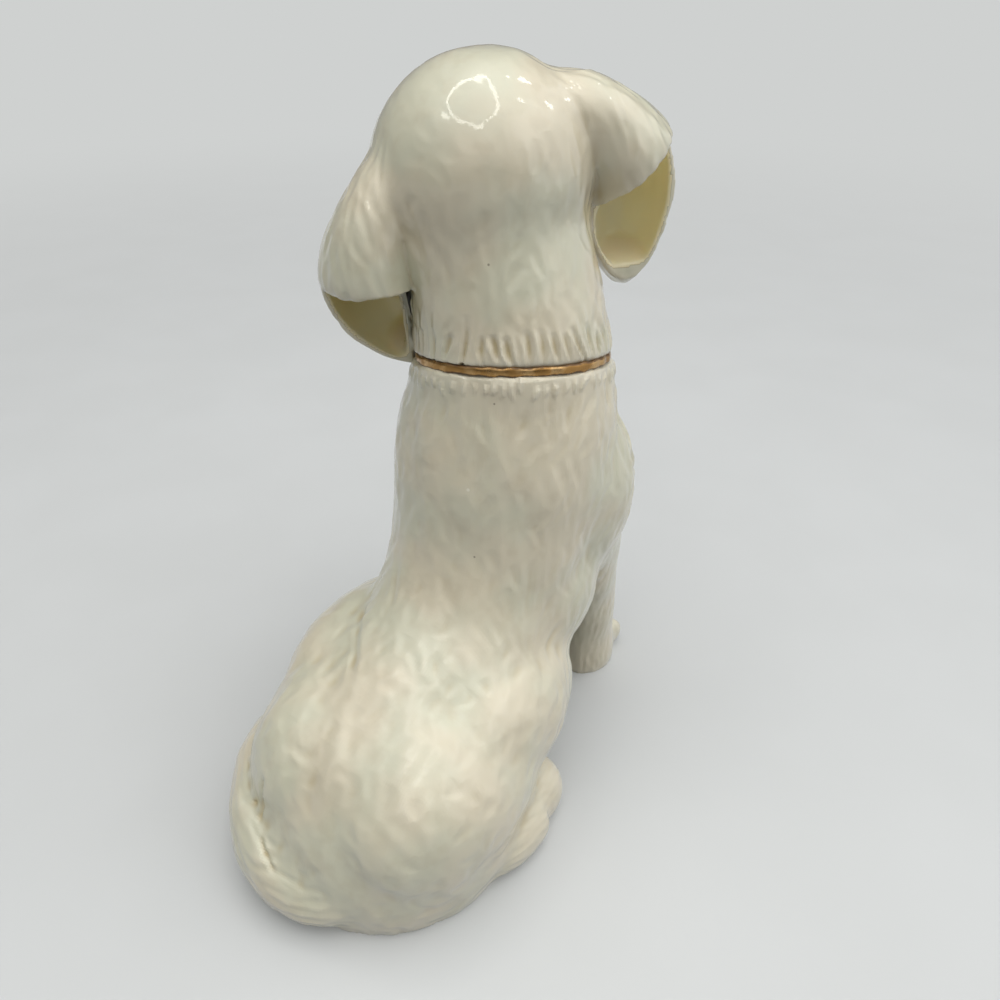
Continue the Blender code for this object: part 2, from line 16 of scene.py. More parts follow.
import bmesh
import bpy
import numpy as np
from mathutils import Matrix, Vector
from mathutils.bvhtree import BVHTree
from mathutils.kdtree import KDTree

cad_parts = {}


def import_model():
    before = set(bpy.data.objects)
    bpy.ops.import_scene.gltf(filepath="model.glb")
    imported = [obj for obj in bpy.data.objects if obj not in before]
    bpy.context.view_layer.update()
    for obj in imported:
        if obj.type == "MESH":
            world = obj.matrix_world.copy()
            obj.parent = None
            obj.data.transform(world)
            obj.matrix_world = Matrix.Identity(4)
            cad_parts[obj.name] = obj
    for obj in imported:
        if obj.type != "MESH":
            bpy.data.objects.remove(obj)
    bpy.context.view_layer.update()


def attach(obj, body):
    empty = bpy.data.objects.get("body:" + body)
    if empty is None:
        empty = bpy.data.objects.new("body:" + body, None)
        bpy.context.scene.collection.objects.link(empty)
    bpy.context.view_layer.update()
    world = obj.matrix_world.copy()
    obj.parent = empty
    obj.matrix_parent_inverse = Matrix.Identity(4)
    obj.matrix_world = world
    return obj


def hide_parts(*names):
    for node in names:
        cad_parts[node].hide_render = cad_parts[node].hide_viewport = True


LOG = logging.getLogger("porcelain_puppy")

MM = 0.001
BODY = "root"
IMAGE_PIXELS = 1000
SENSOR_MM = 36.0
POOL = "glaze_pool"
BAND = "band_edge"
# Direction in the room that runs to the right in the photograph
CAMERA_RIGHT = (-0.838, -0.545, 0.0)
# How far a joint's face is tucked below the skin, in mm
TUCK = 0.6
# How deep a hollow the glaze fills to its full colour, in mm
DEEP_POOL = 0.2
# The glaze pool's value inside an ear, beyond that of any hollow, where the glaze shows a painted glow
INSIDE_EAR = 2.0
# Size of a block that cuts, and a distance beyond every reach, in metres
BLOCK = 150.0 * MM
FAR = 1.0
# How finely thin forms are skinned, in mm, and how often limbs are smoothed
FINE_VOXEL = 0.5
LIMB_SOFTENING = 7

Row = tuple[float, ...]
Object = bpy.types.Object


class Side(Enum):
    """A side of the puppy, as the sign of its X."""

    LEFT = 1
    RIGHT = -1

    @property
    def word(self) -> str:
        """The side's name, as the castings' names have it."""
        return self.name.lower()


class Slot(Enum):
    """The record's material slots."""

    GLAZE = "ivory_glaze"
    GOLD = "burnished_gold"


class Coat(Enum):
    """Kinds of fur that the modeller cut, each with its own stroke."""

    BALD = 0
    BACK = 1
    FLANK = 2
    RUMP = 3
    RUFF = 4
    LEG = 5
    TAIL = 6
    NECK = 7
    EAR = 8
    CHEEK = 9
    CROWN = 10


# Small helpers


def srgb(code: str) -> tuple[float, float, float, float]:
    """Turns a hex colour into the linear colour that a shader takes.

    Args:
        code: The colour as it looks on a screen, such as "#E2DBC3".

    Returns:
        Linear red, green, blue and alpha.
    """
    parts = [int(code[i : i + 2], 16) / 255.0 for i in (1, 3, 5)]
    linear = [p / 12.92 if p <= 0.04045 else ((p + 0.055) / 1.055) ** 2.4 for p in parts]
    return (*linear, 1.0)


def eased(sections: Sequence[Row], steps: int = 4) -> list[Row]:
    """Finds sections on a smooth curve through the given ones.

    Args:
        sections: Rows of numbers, from one end to the other.
        steps: How many rows each step between two sections becomes.

    Returns:
        The rows of a Catmull-Rom curve through the sections.
    """
    rows = [sections[0], *sections, sections[-1]]
    found: list[Row] = []
    for i in range(1, len(rows) - 2):
        for step in range(steps):
            t = step / steps
            found.append(
                tuple(
                    0.5
                    * (
                        2 * b
                        + (c - a) * t
                        + (2 * a - 5 * b + 4 * c - d) * t * t
                        + (3 * b - a - 3 * c + d) * t**3
                    )
                    for a, b, c, d in zip(*rows[i - 1 : i + 3])
                )
            )
    return [*found, tuple(sections[-1])]


def ring_matrix(
    centre: Vector, along: Vector, across: Vector, half_across: float, half_other: float
) -> Matrix:
    """Places a unit circle square to a direction, as an ellipse.

    Args:
        centre: The ellipse's centre.
        along: The direction that the ellipse is square to.
        across: The direction of its first half size, as near as square allows.
        half_across: The first half size.
        half_other: The other half size.

    Returns:
        The matrix that turns a unit circle into the ellipse.
    """
    along = along.normalized()
    across = (across - along * across.dot(along)).normalized()
    other = along.cross(across)
    matrix = Matrix.Identity(4)
    columns = (across * half_across, other * half_other, along * half_across, centre)
    for column, vector in enumerate(columns):
        for row in range(3):
            matrix[row][column] = vector[row]
    return matrix


def path_rings(
    points: Sequence[Vector], across: Vector, half_sizes: Sequence[tuple[float, float]]
) -> list[Matrix]:
    """Stands an ellipse square to a path at each of its points.

    Args:
        points: The path.
        across: The direction of each ellipse's first half size.
        half_sizes: Both half sizes at each point.

    Returns:
        One matrix a point.
    """
    rings = []
    for i, point in enumerate(points):
        along = points[min(i + 1, len(points) - 1)] - points[max(i - 1, 0)]
        rings.append(ring_matrix(point, along, across, *half_sizes[i]))
    return rings


def stored(name: str, bm: bmesh.types.BMesh) -> Object:
    """Turns a bmesh into an object at the origin.

    Args:
        name: The object's name.
        bm: The bmesh, which is freed.

    Returns:
        The new object.
    """
    mesh = bpy.data.meshes.new(name)
    bm.to_mesh(mesh)
    bm.free()
    obj = bpy.data.objects.new(name, mesh)
    bpy.context.scene.collection.objects.link(obj)
    return obj


def new_object(name: str, bm: bmesh.types.BMesh) -> Object:
    """Turns a closed bmesh into an object, with its faces outwards."""
    bmesh.ops.recalc_face_normals(bm, faces=bm.faces)
    return stored(name, bm)


def numbers(
    items: bpy.types.bpy_prop_collection, name: str, width: int = 1, kind: type = np.int64
) -> np.ndarray:
    """Reads one property of a mesh's vertices, edges, corners or faces.

    Args:
        items: The vertices, edges, corners or faces.
        name: The property.
        width: How many numbers each one has.
        kind: What the numbers are.

    Returns:
        One number, or one row of numbers, for each.
    """
    found = np.zeros(len(items) * width, kind)
    items.foreach_get(name, found)
    return found if width == 1 else found.reshape(-1, width)


def in_frame(co: np.ndarray, place: Matrix) -> np.ndarray:
    """Points in metres as they stand in a frame, in mm."""
    matrix = np.array(place.inverted())
    return (co @ matrix[:3, :3].T + matrix[:3, 3]) / MM


def bake(obj: Object) -> Object:
    """Applies an object's modifiers to its mesh.

    Args:
        obj: The object.

    Returns:
        The same object, with no modifiers.
    """
    graph = bpy.context.evaluated_depsgraph_get()
    graph.update()
    mesh = bpy.data.meshes.new_from_object(obj.evaluated_get(graph))
    obj.modifiers.clear()
    old = obj.data
    obj.data = mesh
    bpy.data.meshes.remove(old)
    return obj


def discard(*objects: Object) -> None:
    """Removes helpers that have done their work."""
    for obj in objects:
        bpy.data.objects.remove(obj, do_unlink=True)


def carve_with(obj: Object, cutter: Object) -> Object:
    """Cuts one form out of another.

    Args:
        obj: The form that is changed.
        cutter: The form that cuts.

    Returns:
        The changed form.

    Raises:
        RuntimeError: If the cut leaves nothing, which a self-crossing form can cause.
    """
    boolean = obj.modifiers.new("Cut", "BOOLEAN")
    boolean.operation = "DIFFERENCE"
    boolean.solver = "EXACT"
    boolean.object = cutter
    bake(obj)
    if not obj.data.vertices:
        raise RuntimeError(f"Nothing is left of {obj.name} after the cut with {cutter.name}")
    return obj


def stood_off(obj: Object, distance: float) -> Object:
    """Copies a form and moves its surface outwards.

    Args:
        obj: The form.
        distance: How far outwards, or inwards if negative.

    Returns:
        The copy.
    """
    copy = bpy.data.objects.new(obj.name + "_off", obj.data.copy())
    bpy.context.scene.collection.objects.link(copy)
    push = copy.modifiers.new("Stand off", "DISPLACE")
    push.mid_level = 0.0
    push.strength = distance
    return bake(copy)


def block(place: Matrix, behind: bool = False) -> Object:
    """Makes a block that fills the space above a frame, or what lies both behind and below it.

    Args:
        place: The frame.
        behind: Whether it fills what lies behind and below.

    Returns:
        The block.
    """
    bm = bmesh.new()
    middle = (0, BLOCK / 2, -BLOCK / 2) if behind else (0, 0, BLOCK / 2)
    matrix = place @ Matrix.Translation(middle) @ Matrix.Diagonal((BLOCK, BLOCK, BLOCK, 1))
    bmesh.ops.create_cube(bm, size=1.0, matrix=matrix)
    return new_object("block", bm)


def plane_cut(obj: Object, place: Matrix, keep_above: bool) -> Object:
    """Cuts a form off flat at a plane and closes it there.

    Args:
        obj: The form.
        place: The plane's frame.
        keep_above: Whether the side that the frame's Z axis points to stays.

    Returns:
        The same object.
    """
    bm = bmesh.new()
    bm.from_mesh(obj.data)
    bmesh.ops.bisect_plane(
        bm,
        geom=[*bm.verts, *bm.edges, *bm.faces],
        dist=1e-7,
        plane_co=place.translation,
        plane_no=place.to_3x3() @ Vector((0, 0, 1)),
        clear_inner=keep_above,
        clear_outer=not keep_above,
    )
    rim = [edge for edge in bm.edges if edge.is_boundary]
    bmesh.ops.holes_fill(bm, edges=rim, sides=0)
    bmesh.ops.recalc_face_normals(bm, faces=bm.faces)
    bm.to_mesh(obj.data)
    bm.free()
    return obj


class Clay:
    """Overlapping forms that are skinned into one surface."""

    ring_points: int = 40

    def __init__(self, place: Matrix | None = None) -> None:
        """Starts an empty lump.

        Args:
            place: The frame in which its forms are given.
        """
        self.place = place or Matrix.Identity(4)
        self.bm = bmesh.new()

    def ball(self, centre: Row, radii: Row, side: int = 1, turn: float = 0.0) -> None:
        """Adds an ellipsoid.

        Args:
            centre: Its centre in mm.
            radii: Its three radii in mm.
            side: -1 mirrors it to the right side.
            turn: Degrees that it is turned about its upright axis.
        """
        spot = Vector((side * centre[0], centre[1], centre[2])) * MM
        matrix = (
            self.place
            @ Matrix.Translation(spot)
            @ Matrix.Rotation(math.radians(turn), 4, "Z")
            @ Matrix.Diagonal((*(Vector(radii) * MM), 1.0))
        )
        bmesh.ops.create_icosphere(self.bm, subdivisions=5, radius=1.0, matrix=matrix)

    def pair(self, centre: Row, radii: Row, lean: float = 0.0) -> None:
        """Adds an ellipsoid on each side, both moved to the puppy's left by some mm."""
        for side in Side:
            spot = (centre[0] + side.value * lean, centre[1], centre[2])
            self.ball(spot, radii, side.value)

    def loft(self, rings: Sequence[Matrix]) -> None:
        """Adds a closed form through rings, by extruding a disc from each to the next."""
        first = bmesh.ops.create_circle(
            self.bm, cap_ends=True, segments=self.ring_points, radius=1.0,
            matrix=self.place @ rings[0],
        )
        cap = next(iter(first["verts"][0].link_faces))
        for before, after in zip(rings, rings[1:]):
            grown = bmesh.ops.extrude_face_region(self.bm, geom=[cap])["geom"]
            verts = [item for item in grown if isinstance(item, bmesh.types.BMVert)]
            cap = next(item for item in grown if isinstance(item, bmesh.types.BMFace))
            step = self.place @ after @ before.inverted() @ self.place.inverted()
            bmesh.ops.transform(self.bm, matrix=step, verts=verts)

    def sweep(
        self, rows: Sequence[Row], across: Row = (1, 0, 0), start: int = 0, spare: int = 0
    ) -> None:
        """Adds a closed form along a path.

        Args:
            rows: Smooth rows of a place and two half sizes, in mm.
            across: The direction of the first half size.
            start: The row at which it begins.
            spare: How many of the last rows it leaves out.
        """
        points = [Vector(row[:3]) * MM for row in rows]
        sizes = [(row[3] * MM, row[4] * MM) for row in rows]
        rings = path_rings(points, Vector(across), sizes)
        self.loft(rings[start : len(rings) - spare])

    def skinned(self, name: str, voxel: float, softening: int) -> Object:
        """Blends the forms into one skin, as finely as the voxel in mm, and softens it."""
        return skinned(new_object(name, self.bm), voxel, softening)


def skinned(obj: Object, voxel: float, softening: int) -> Object:
    """Remeshes a form evenly and softens it.

    Args:
        obj: The form.
        voxel: How finely, in mm.
        softening: How many times it is smoothed.

    Returns:
        The same object.
    """
    remesh = obj.modifiers.new("Skin", "REMESH")
    remesh.mode = "VOXEL"
    remesh.voxel_size = voxel * MM
    remesh.use_smooth_shade = True
    if softening:
        smooth = obj.modifiers.new("Soften", "SMOOTH")
        smooth.factor = 0.5
        smooth.iterations = softening
    return bake(obj)


def joined(name: str, objects: Sequence[Object]) -> Object:
    """Puts copies of several forms into one object.

    Args:
        name: The new object's name.
        objects: The forms, which stay.

    Returns:
        The new object.
    """
    bm = bmesh.new()
    for obj in objects:
        bm.from_mesh(obj.data)
    return stored(name, bm)


def ramp(values: np.ndarray, start: float, span: float) -> np.ndarray:
    """A share that rises from 0 to 1 over a span from a start, or before it if negative."""
    return np.clip((values - start) / span, 0.0, 1.0)


# The castings' forms


@dataclass(frozen=True)
class NeckSeam:
    """The luted joint between head and body, square to the leaning neck. Sizes in mm."""

    back: float = -39.4
    height: float = 89.4
    lean: float = 11.0
    side_lean: float = 7.5
    core: float = 17.0
    half_groove: float = 0.85
    middle: float = 0.15

    def frame(self) -> Matrix:
        """The seam's frame, whose Z axis runs up the neck."""
        return (
            Matrix.Translation(Vector((0.0, self.back, self.height)) * MM)
            @ Matrix.Rotation(math.radians(self.side_lean), 4, "Y")
            @ Matrix.Rotation(math.radians(self.lean), 4, "X")
        )

    def cut(self, obj: Object, keep_above: bool) -> Object:
        """Parts a form at the seam and cuts its half of the collar's groove.

        Args:
            obj: The form.
            keep_above: Whether the head's side stays.

        Returns:
            The same object.
        """
        place = self.frame() @ Matrix.Translation((0, 0, self.middle * MM))
        plane_cut(obj, place, keep_above)
        bm = bmesh.new()
        half = self.half_groove
        corners = ((self.core, -half), (60.0, -half), (60.0, half), (self.core, half))
        verts = [bm.verts.new((radius * MM, 0.0, height * MM)) for radius, height in corners]
        edges = [bm.edges.new((verts[i - 1], verts[i])) for i in range(len(verts))]
        bmesh.ops.spin(
            bm, geom=edges, cent=(0, 0, 0), axis=(0, 0, 1), angle=math.tau, steps=96, use_merge=True
        )
        bmesh.ops.transform(bm, matrix=place, verts=bm.verts)
        groove = new_object("groove", bm)
        carve_with(obj, groove)
        discard(groove)
        return obj


@dataclass(frozen=True)
class BodyForm:
    """Torso, chest, shoulders and haunches. Sizes in mm."""

    torso: tuple[Row, ...] = (
        (3.0, -4.0, 24.0, 26.4),
        (3.0, 5.0, 26.6, 28.0),
        (1.5, 16.0, 26.8, 28.8),
        (-3.5, 26.0, 25.0, 29.0),
        (-10.5, 34.0, 21.5, 29.0),
        (-20.0, 40.5, 19.0, 27.2),
        (-27.6, 47.0, 19.2, 23.0),
        (-31.4, 54.0, 20.4, 20.6),
        (-33.8, 62.0, 21.4, 20.0),
        (-35.8, 72.0, 21.8, 20.4),
        (-37.8, 80.0, 21.0, 20.2),
        (-39.2, 86.0, 19.4, 19.4),
        (-39.4, 91.0, 18.6, 18.6),
        (-40.5, 97.0, 18.2, 18.2),
    )
    chest: tuple[Row, Row] = ((0.0, -46.0, 58.0), (15.0, 13.6, 21.0))
    shoulder: tuple[Row, Row] = ((13.8, -44.4, 61.0), (10.2, 12.4, 20.5))
    flank: tuple[Row, Row] = ((10.8, -33.5, 42.5), (11.2, 15.0, 17.0))
    haunch: tuple[Row, Row] = ((10.5, 2.5, 19.0), (17.6, 24.5, 19.6))
    thigh: tuple[Row, Row] = ((16.4, -11.0, 25.4), (12.0, 23.4, 15.6))
    thighs_lean: float = 1.8
    voxel: float = 0.8
    softening: int = 29

    def form(self) -> Object:
        """The body's outer form."""
        clay = Clay()
        rings = [
            ring_matrix(
                Vector((0.0, back, height)) * MM, Vector((0, 0, 1)), Vector((1, 0, 0)),
                half_width * MM, half_depth * MM,
            )
            for back, height, half_width, half_depth in eased(self.torso)
        ]
        clay.loft(rings)
        clay.ball(*self.chest)
        for lump in (self.shoulder, self.flank, self.haunch):
            clay.pair(*lump)
        clay.pair(*self.thigh, self.thighs_lean)
        return clay.skinned("body_form", self.voxel, self.softening)


@dataclass(frozen=True)
class HeadForm:
    """Neck, skull, cheeks, muzzle, brows, eyes and nose. Sizes in mm, in the head's frame."""

    skull: Row = (8.7, -42.7, 120.2)
    turn: float = 45.0
    cock: float = 21.6
    nod: float = 2.0
    skull_radii: Row = (19.8, 20.4, 19.3)
    cheek: tuple[Row, Row] = ((11.0, -6.0, -6.5), (9.0, 12.0, 9.5))
    brow: tuple[Row, Row] = ((8.0, -13.0, 6.5), (5.5, 4.6, 3.8))
    lip: tuple[Row, Row] = ((4.8, -22.6, -9.0), (6.2, 7.8, 5.8))
    chin: tuple[Row, Row] = ((0.0, -19.5, -13.4), (6.0, 7.6, 3.4))
    nose: tuple[Row, Row] = ((0.0, -28.8, -2.8), (4.4, 3.2, 3.3))
    eye: tuple[Row, Row] = ((8.6, -15.8, 1.0), (3.6, 3.6, 3.6))
    philtrum: tuple[Row, ...] = ((0, -32, -5.5), (0, -31.6, -8.0), (0, -31.0, -10.4))
    mouth: tuple[Row, ...] = (
        (0, -31.2, -10.4), (2.4, -30.6, -11.9), (5.2, -28.4, -12.9),
        (7.8, -25.2, -13.0), (9.6, -21.0, -11.6), (9.8, -17.8, -9.8),
    )
    nostril: tuple[Row, ...] = ((2.9, -31.4, -3.4), (2.2, -31.8, -2.7), (1.5, -31.8, -3.0))
    eyelid: Row = (8.6, -18.6, 1.0)
    eyelid_half: Row = (3.9, 0.8, 2.9)
    voxel: float = 0.6
    softening: int = 6
    muzzle: tuple[Row, ...] = (
        (-6.0, -4.5, 13.5, 11.5),
        (-14.0, -5.0, 11.2, 9.4),
        (-20.0, -5.6, 9.4, 7.8),
        (-25.5, -5.8, 8.2, 6.6),
        (-29.2, -5.8, 5.8, 4.8),
    )
    neck: tuple[Row, ...] = (
        (-1.0, -38.2, 82.0, 18.7),
        (0.0, -39.4, 89.4, 18.5),
        (1.5, -40.2, 97.0, 17.8),
        (3.9, -40.9, 105.0, 17.3),
        (6.7, -41.4, 112.0, 17.8),
        (8.0, -41.5, 118.0, 17.5),
    )

    def frame(self) -> Matrix:
        """The head's own frame, centred on the skull: the face looks along its -Y."""
        return (
            Matrix.Translation(Vector(self.skull) * MM)
            @ Matrix.Rotation(math.radians(self.turn), 4, "Z")
            @ Matrix.Rotation(math.radians(self.cock), 4, "Y")
            @ Matrix.Rotation(math.radians(self.nod), 4, "X")
        )

    def form(self) -> Object:
        """The head's outer form, with its neck."""
        neck = Clay()
        neck.sweep([(*row, row[3]) for row in eased(self.neck)])
        clay = Clay(self.frame())
        clay.ball((0.0, 0.0, 0.0), self.skull_radii)
        clay.sweep([(0.0, *row) for row in eased(self.muzzle)])
        for lump in (self.cheek, self.brow, self.lip, self.eye):
            clay.pair(*lump)
        clay.ball(*self.chin)
        clay.ball(*self.nose)
        parts = [new_object("neck_clay", neck.bm), new_object("head_clay", clay.bm)]
        form = joined("head_form", parts)
        discard(*parts)
        return skinned(form, self.voxel, self.softening)


@dataclass(frozen=True)
class EarForm:
    """A hanging ear: a thin pouch whose lower back is cut away, up to a rim. Sizes in mm."""

    side: Side
    sections: tuple[Row, ...] = (
        (12.9, 2.2, 7.8, 4.3, 7.2),
        (18.6, 3.4, 3.4, 5.8, 8.8),
        (22.6, 4.0, -1.8, 7.4, 10.0),
        (24.8, 3.2, -7.2, 8.8, 11.0),
        (24.6, 1.6, -12.8, 8.8, 10.8),
        (23.2, -0.2, -18.2, 7.6, 9.4),
        (22.0, -2.0, -23.2, 5.6, 7.0),
        (21.4, -3.8, -27.8, 2.6, 3.4),
    )
    sway: float = 0.09
    stretch: float = 0.05
    bend_start: float = 4.0
    wall: float = 1.2
    gap: float = 0.7
    free_below: float = -9.0
    softening: int = 8
    air_voxel: float = 0.6
    hollow_voxel: float = 0.45
    mouth_corner: Row = (19.2, 2.0, -10.7)
    mouth_rise: float = 20.0

    def rows(self) -> list[Row]:
        """The ear's smooth sections, swayed to the side that it hangs to."""
        side = self.side.value
        found = []
        for out, back, height, thick, broad in self.sections:
            hang = max(0.0, self.bend_start - height)
            place = (side * out + self.sway * hang, back, height + side * self.stretch * hang)
            found.append((*place, thick, broad))
        return eased(found)

    def loft(
        self, place: Matrix, name: str, inset: float, start: int = 0, spare: int = 0
    ) -> Object:
        """Makes the ear's form, or its hollow.

        Args:
            place: The head's frame.
            name: The object's name.
            inset: How far its surface lies inside the ear's own.
            start: The section at which it begins.
            spare: How many of the last sections it leaves out.

        Returns:
            The form.
        """
        least = self.wall / 4
        rows = [
            (*row[:3], max(row[4] - inset, least), max(row[3] - inset, least)) for row in self.rows()
        ]
        clay = Clay(place)
        clay.sweep(rows, (0, 1, 0), start, spare)
        return clay.skinned(name, FINE_VOXEL, self.softening)

    def hollow(self, head: Object, place: Matrix) -> Object:
        """The air inside the ear, which keeps a wall's thickness off the neck.

        Args:
            head: The head's form.
            place: The head's frame.

        Returns:
            The hollow's form.
        """
        hollow = self.loft(place, "ear_hollow", self.wall, 4, 4)
        wall = skinned(stood_off(head, (self.gap + self.wall) * MM), self.air_voxel, 0)
        carve_with(hollow, wall)
        discard(wall)
        return skinned(hollow, self.hollow_voxel, 1)

    def form(self, head: Object, place: Matrix, hollow: Object) -> Object:
        """The ear, hollowed, opened and freed from the neck.

        Args:
            head: The head's form.
            place: The head's frame.
            hollow: The ear's hollow.

        Returns:
            The ear.
        """
        ear = self.loft(place, f"{self.side.word}_ear_form", 0.0)
        carve_with(ear, hollow)
        side = self.side.value
        corner = Vector((side * self.mouth_corner[0], *self.mouth_corner[1:])) * MM
        rise = Matrix.Rotation(math.radians(-side * self.mouth_rise), 4, "Y")
        mouth = block(place @ Matrix.Translation(corner) @ rise, behind=True)
        carve_with(ear, mouth)
        air = skinned(stood_off(head, self.gap * MM), self.air_voxel, 0)
        level = Matrix.Translation((0, 0, self.free_below * MM))
        above = block(place @ level)
        carve_with(air, above)
        carve_with(ear, air)
        discard(mouth, air, above)
        return ear


@dataclass(frozen=True)
class Paw:
    """A rounded paw with toes that fan out. Sizes in mm."""

    centre: Row
    radii: Row
    toes: int = 4
    toe_radii: Row = (2.5, 4.6, 3.9)
    fan: float = 12.0
    spread: float = 0.9
    forward: float = 0.6
    cleft: tuple[Row, ...] = (
        (0.5, 8.4), (0.85, 7.6), (1.1, 6.0), (1.25, 4.0), (1.3, 2.0), (1.28, 0.4),
    )

    def toe_angles(self) -> list[float]:
        """Each toe's angle from straight ahead, in radians."""
        middle = (self.toes - 1) / 2
        return [math.radians((toe - middle) * 2 * self.fan) for toe in range(self.toes)]

    def add_to(self, clay: Clay, side: Side) -> None:
        """Adds the paw to a lump of clay."""
        clay.ball(self.centre, self.radii, side.value)
        for angle in self.toe_angles():
            spot = (
                side.value * self.centre[0] + math.sin(angle) * self.radii[0] * self.spread,
                self.centre[1] - math.cos(angle) * self.radii[1] * self.forward,
                self.toe_radii[2] * 0.9,
            )
            clay.ball(spot, self.toe_radii, turn=math.degrees(angle) * 0.5)

    def clefts(self, side: Side) -> list[list[Vector]]:
        """The grooves between the toes, as paths in metres."""
        angles = self.toe_angles()
        found = []
        for a, b in zip(angles, angles[1:]):
            angle = (a + b) / 2
            foot = Vector((side.value * self.centre[0], self.centre[1], 0.0))
            out = Vector((math.sin(angle) * self.radii[0], -math.cos(angle) * self.radii[1], 0))
            found.append([(foot + out * far + Vector((0, 0, up))) * MM for far, up in self.cleft])
        return found


@dataclass(frozen=True)
class LimbForm:
    """A front leg or a hind foot, with its paw. Sizes in mm, on the puppy's left."""

    name: str
    sections: tuple[Row, ...]
    paw: Paw

    def form(self, side: Side) -> Object:
        """The limb, ground flat underneath.

        Args:
            side: The side of the puppy that it is on.

        Returns:
            The limb's form.
        """
        clay = Clay()
        clay.sweep(eased([(side.value * row[0], *row[1:]) for row in self.sections]))
        self.paw.add_to(clay, side)
        limb = clay.skinned(f"{side.word}_{self.name}_form", FINE_VOXEL, LIMB_SOFTENING)
        return plane_cut(limb, Matrix.Identity(4), True)


FORELEG = LimbForm(
    "foreleg",
    (
        (13.0, -45.0, 62.0, 7.0, 9.5),
        (13.2, -48.5, 52.0, 7.4, 9.6),
        (12.8, -52.0, 42.0, 6.9, 8.4),
        (12.3, -55.0, 31.0, 6.1, 7.2),
        (12.0, -57.4, 20.0, 5.7, 6.6),
        (11.4, -58.6, 11.0, 6.0, 7.0),
        (10.8, -59.6, 4.0, 6.8, 8.2),
        (10.6, -60.0, -3.0, 6.8, 8.2),
    ),
    Paw((9.8, -62.0, 3.8), (7.2, 8.4, 6.4)),
)
HIND_FOOT = LimbForm(
    "hind_foot",
    (
        (19.0, 9.0, 4.0, 4.2, 5.0),
        (21.0, 4.0, 4.4, 5.8, 6.4),
        (22.4, -2.0, 4.8, 7.2, 7.6),
        (22.2, -8.0, 4.6, 7.6, 7.6),
    ),
    Paw((20.4, -12.2, 5.2), (8.2, 8.6, 8.6), forward=0.2),
)


@dataclass(frozen=True)
class TailForm:
    """The tail, curled round the left haunch.

    Sizes in mm: left, back, height, half width and half height.
    """

    sections: tuple[Row, ...] = (
        (-10.0, 20.0, 8.0, 5.4, 5.4),
        (-2.0, 27.0, 7.0, 6.4, 6.6),
        (8.5, 29.0, 7.4, 6.2, 7.8),
        (18.2, 25.2, 9.2, 5.4, 9.0),
        (25.4, 18.0, 10.4, 4.7, 9.0),
        (30.0, 10.0, 9.2, 4.1, 7.6),
        (32.4, 3.0, 6.8, 3.2, 5.4),
        (33.0, -1.6, 4.6, 1.8, 3.2),
    )

    def path(self) -> list[Vector]:
        """The tail's middle line, in metres."""
        return [Vector(row[:3]) * MM for row in eased(self.sections)]

    def form(self) -> Object:
        """The tail, ground flat underneath."""
        clay = Clay()
        rows = [(*row[:3], row[4], row[3]) for row in eased(self.sections)]
        clay.sweep(rows, (0, 0, 1))
        tail = clay.skinned("tail_form", FINE_VOXEL, LIMB_SOFTENING)
        return plane_cut(tail, Matrix.Identity(4), True)


# The skin and what the modeller's tools do to it


@dataclass(frozen=True)
class Stroke:
    """One kind of tool stroke in the clay. Lengths in mm."""

    length: float
    width: float
    depth: float
    along: float
    across: float
    wander: float = 12.0
    ridge: float = 0.35


@dataclass(frozen=True)
class Groove:
    """A line drawn in the clay. Sizes in mm, and the lip as a share of the depth."""

    width: float
    depth: float
    lip: float


PHILTRUM = Groove(1.3, 0.5, 0.25)
MOUTH = Groove(1.5, 0.75, 0.25)
NOSTRIL = Groove(1.6, 0.9, 0.1)
EYELID = Groove(1.0, 0.5, 0.45)
TOE_CLEFT = Groove(1.5, 0.6, 0.1)

STROKES: dict[Coat, Stroke] = {
    Coat.BACK: Stroke(6.0, 3.0, 0.15, 4.4, 2.8, 16.0, 0.3),
    Coat.FLANK: Stroke(7.0, 2.4, 0.16, 5.0, 2.6, 16.0, 0.3),
    Coat.RUMP: Stroke(5.0, 3.6, 0.18, 4.2, 3.3, 26.0, 0.2),
    Coat.RUFF: Stroke(8.0, 2.2, 0.34, 4.8, 2.2, 10.0, 0.45),
    Coat.LEG: Stroke(5.5, 1.5, 0.1, 3.6, 1.6, 9.0),
    Coat.TAIL: Stroke(7.5, 1.9, 0.13, 4.6, 2.0, 10.0),
    Coat.NECK: Stroke(6.0, 2.6, 0.13, 4.4, 2.6, 14.0, 0.3),
    Coat.EAR: Stroke(9.0, 2.0, 0.12, 6.0, 2.3, 8.0),
    Coat.CHEEK: Stroke(3.4, 1.3, 0.09, 2.6, 1.5, 14.0),
    Coat.CROWN: Stroke(4.5, 2.6, 0.05, 5.0, 3.4, 25.0),
}

TUFT = Stroke(6.6, 1.5, 0.55, 0.0, 0.0, 10.0, 0.35)
BELOW_COLLAR = Stroke(2.8, 1.35, -0.5, 0.0, 0.0, 12.0, 0.0)
NAPE_TUFT = Stroke(5.0, 1.8, 0.12, 0.0, 0.0, 14.0, 0.4)

# A ring of tufts: how high above the seam, how far apart, and their stroke
Ring = tuple[float, float, Stroke]


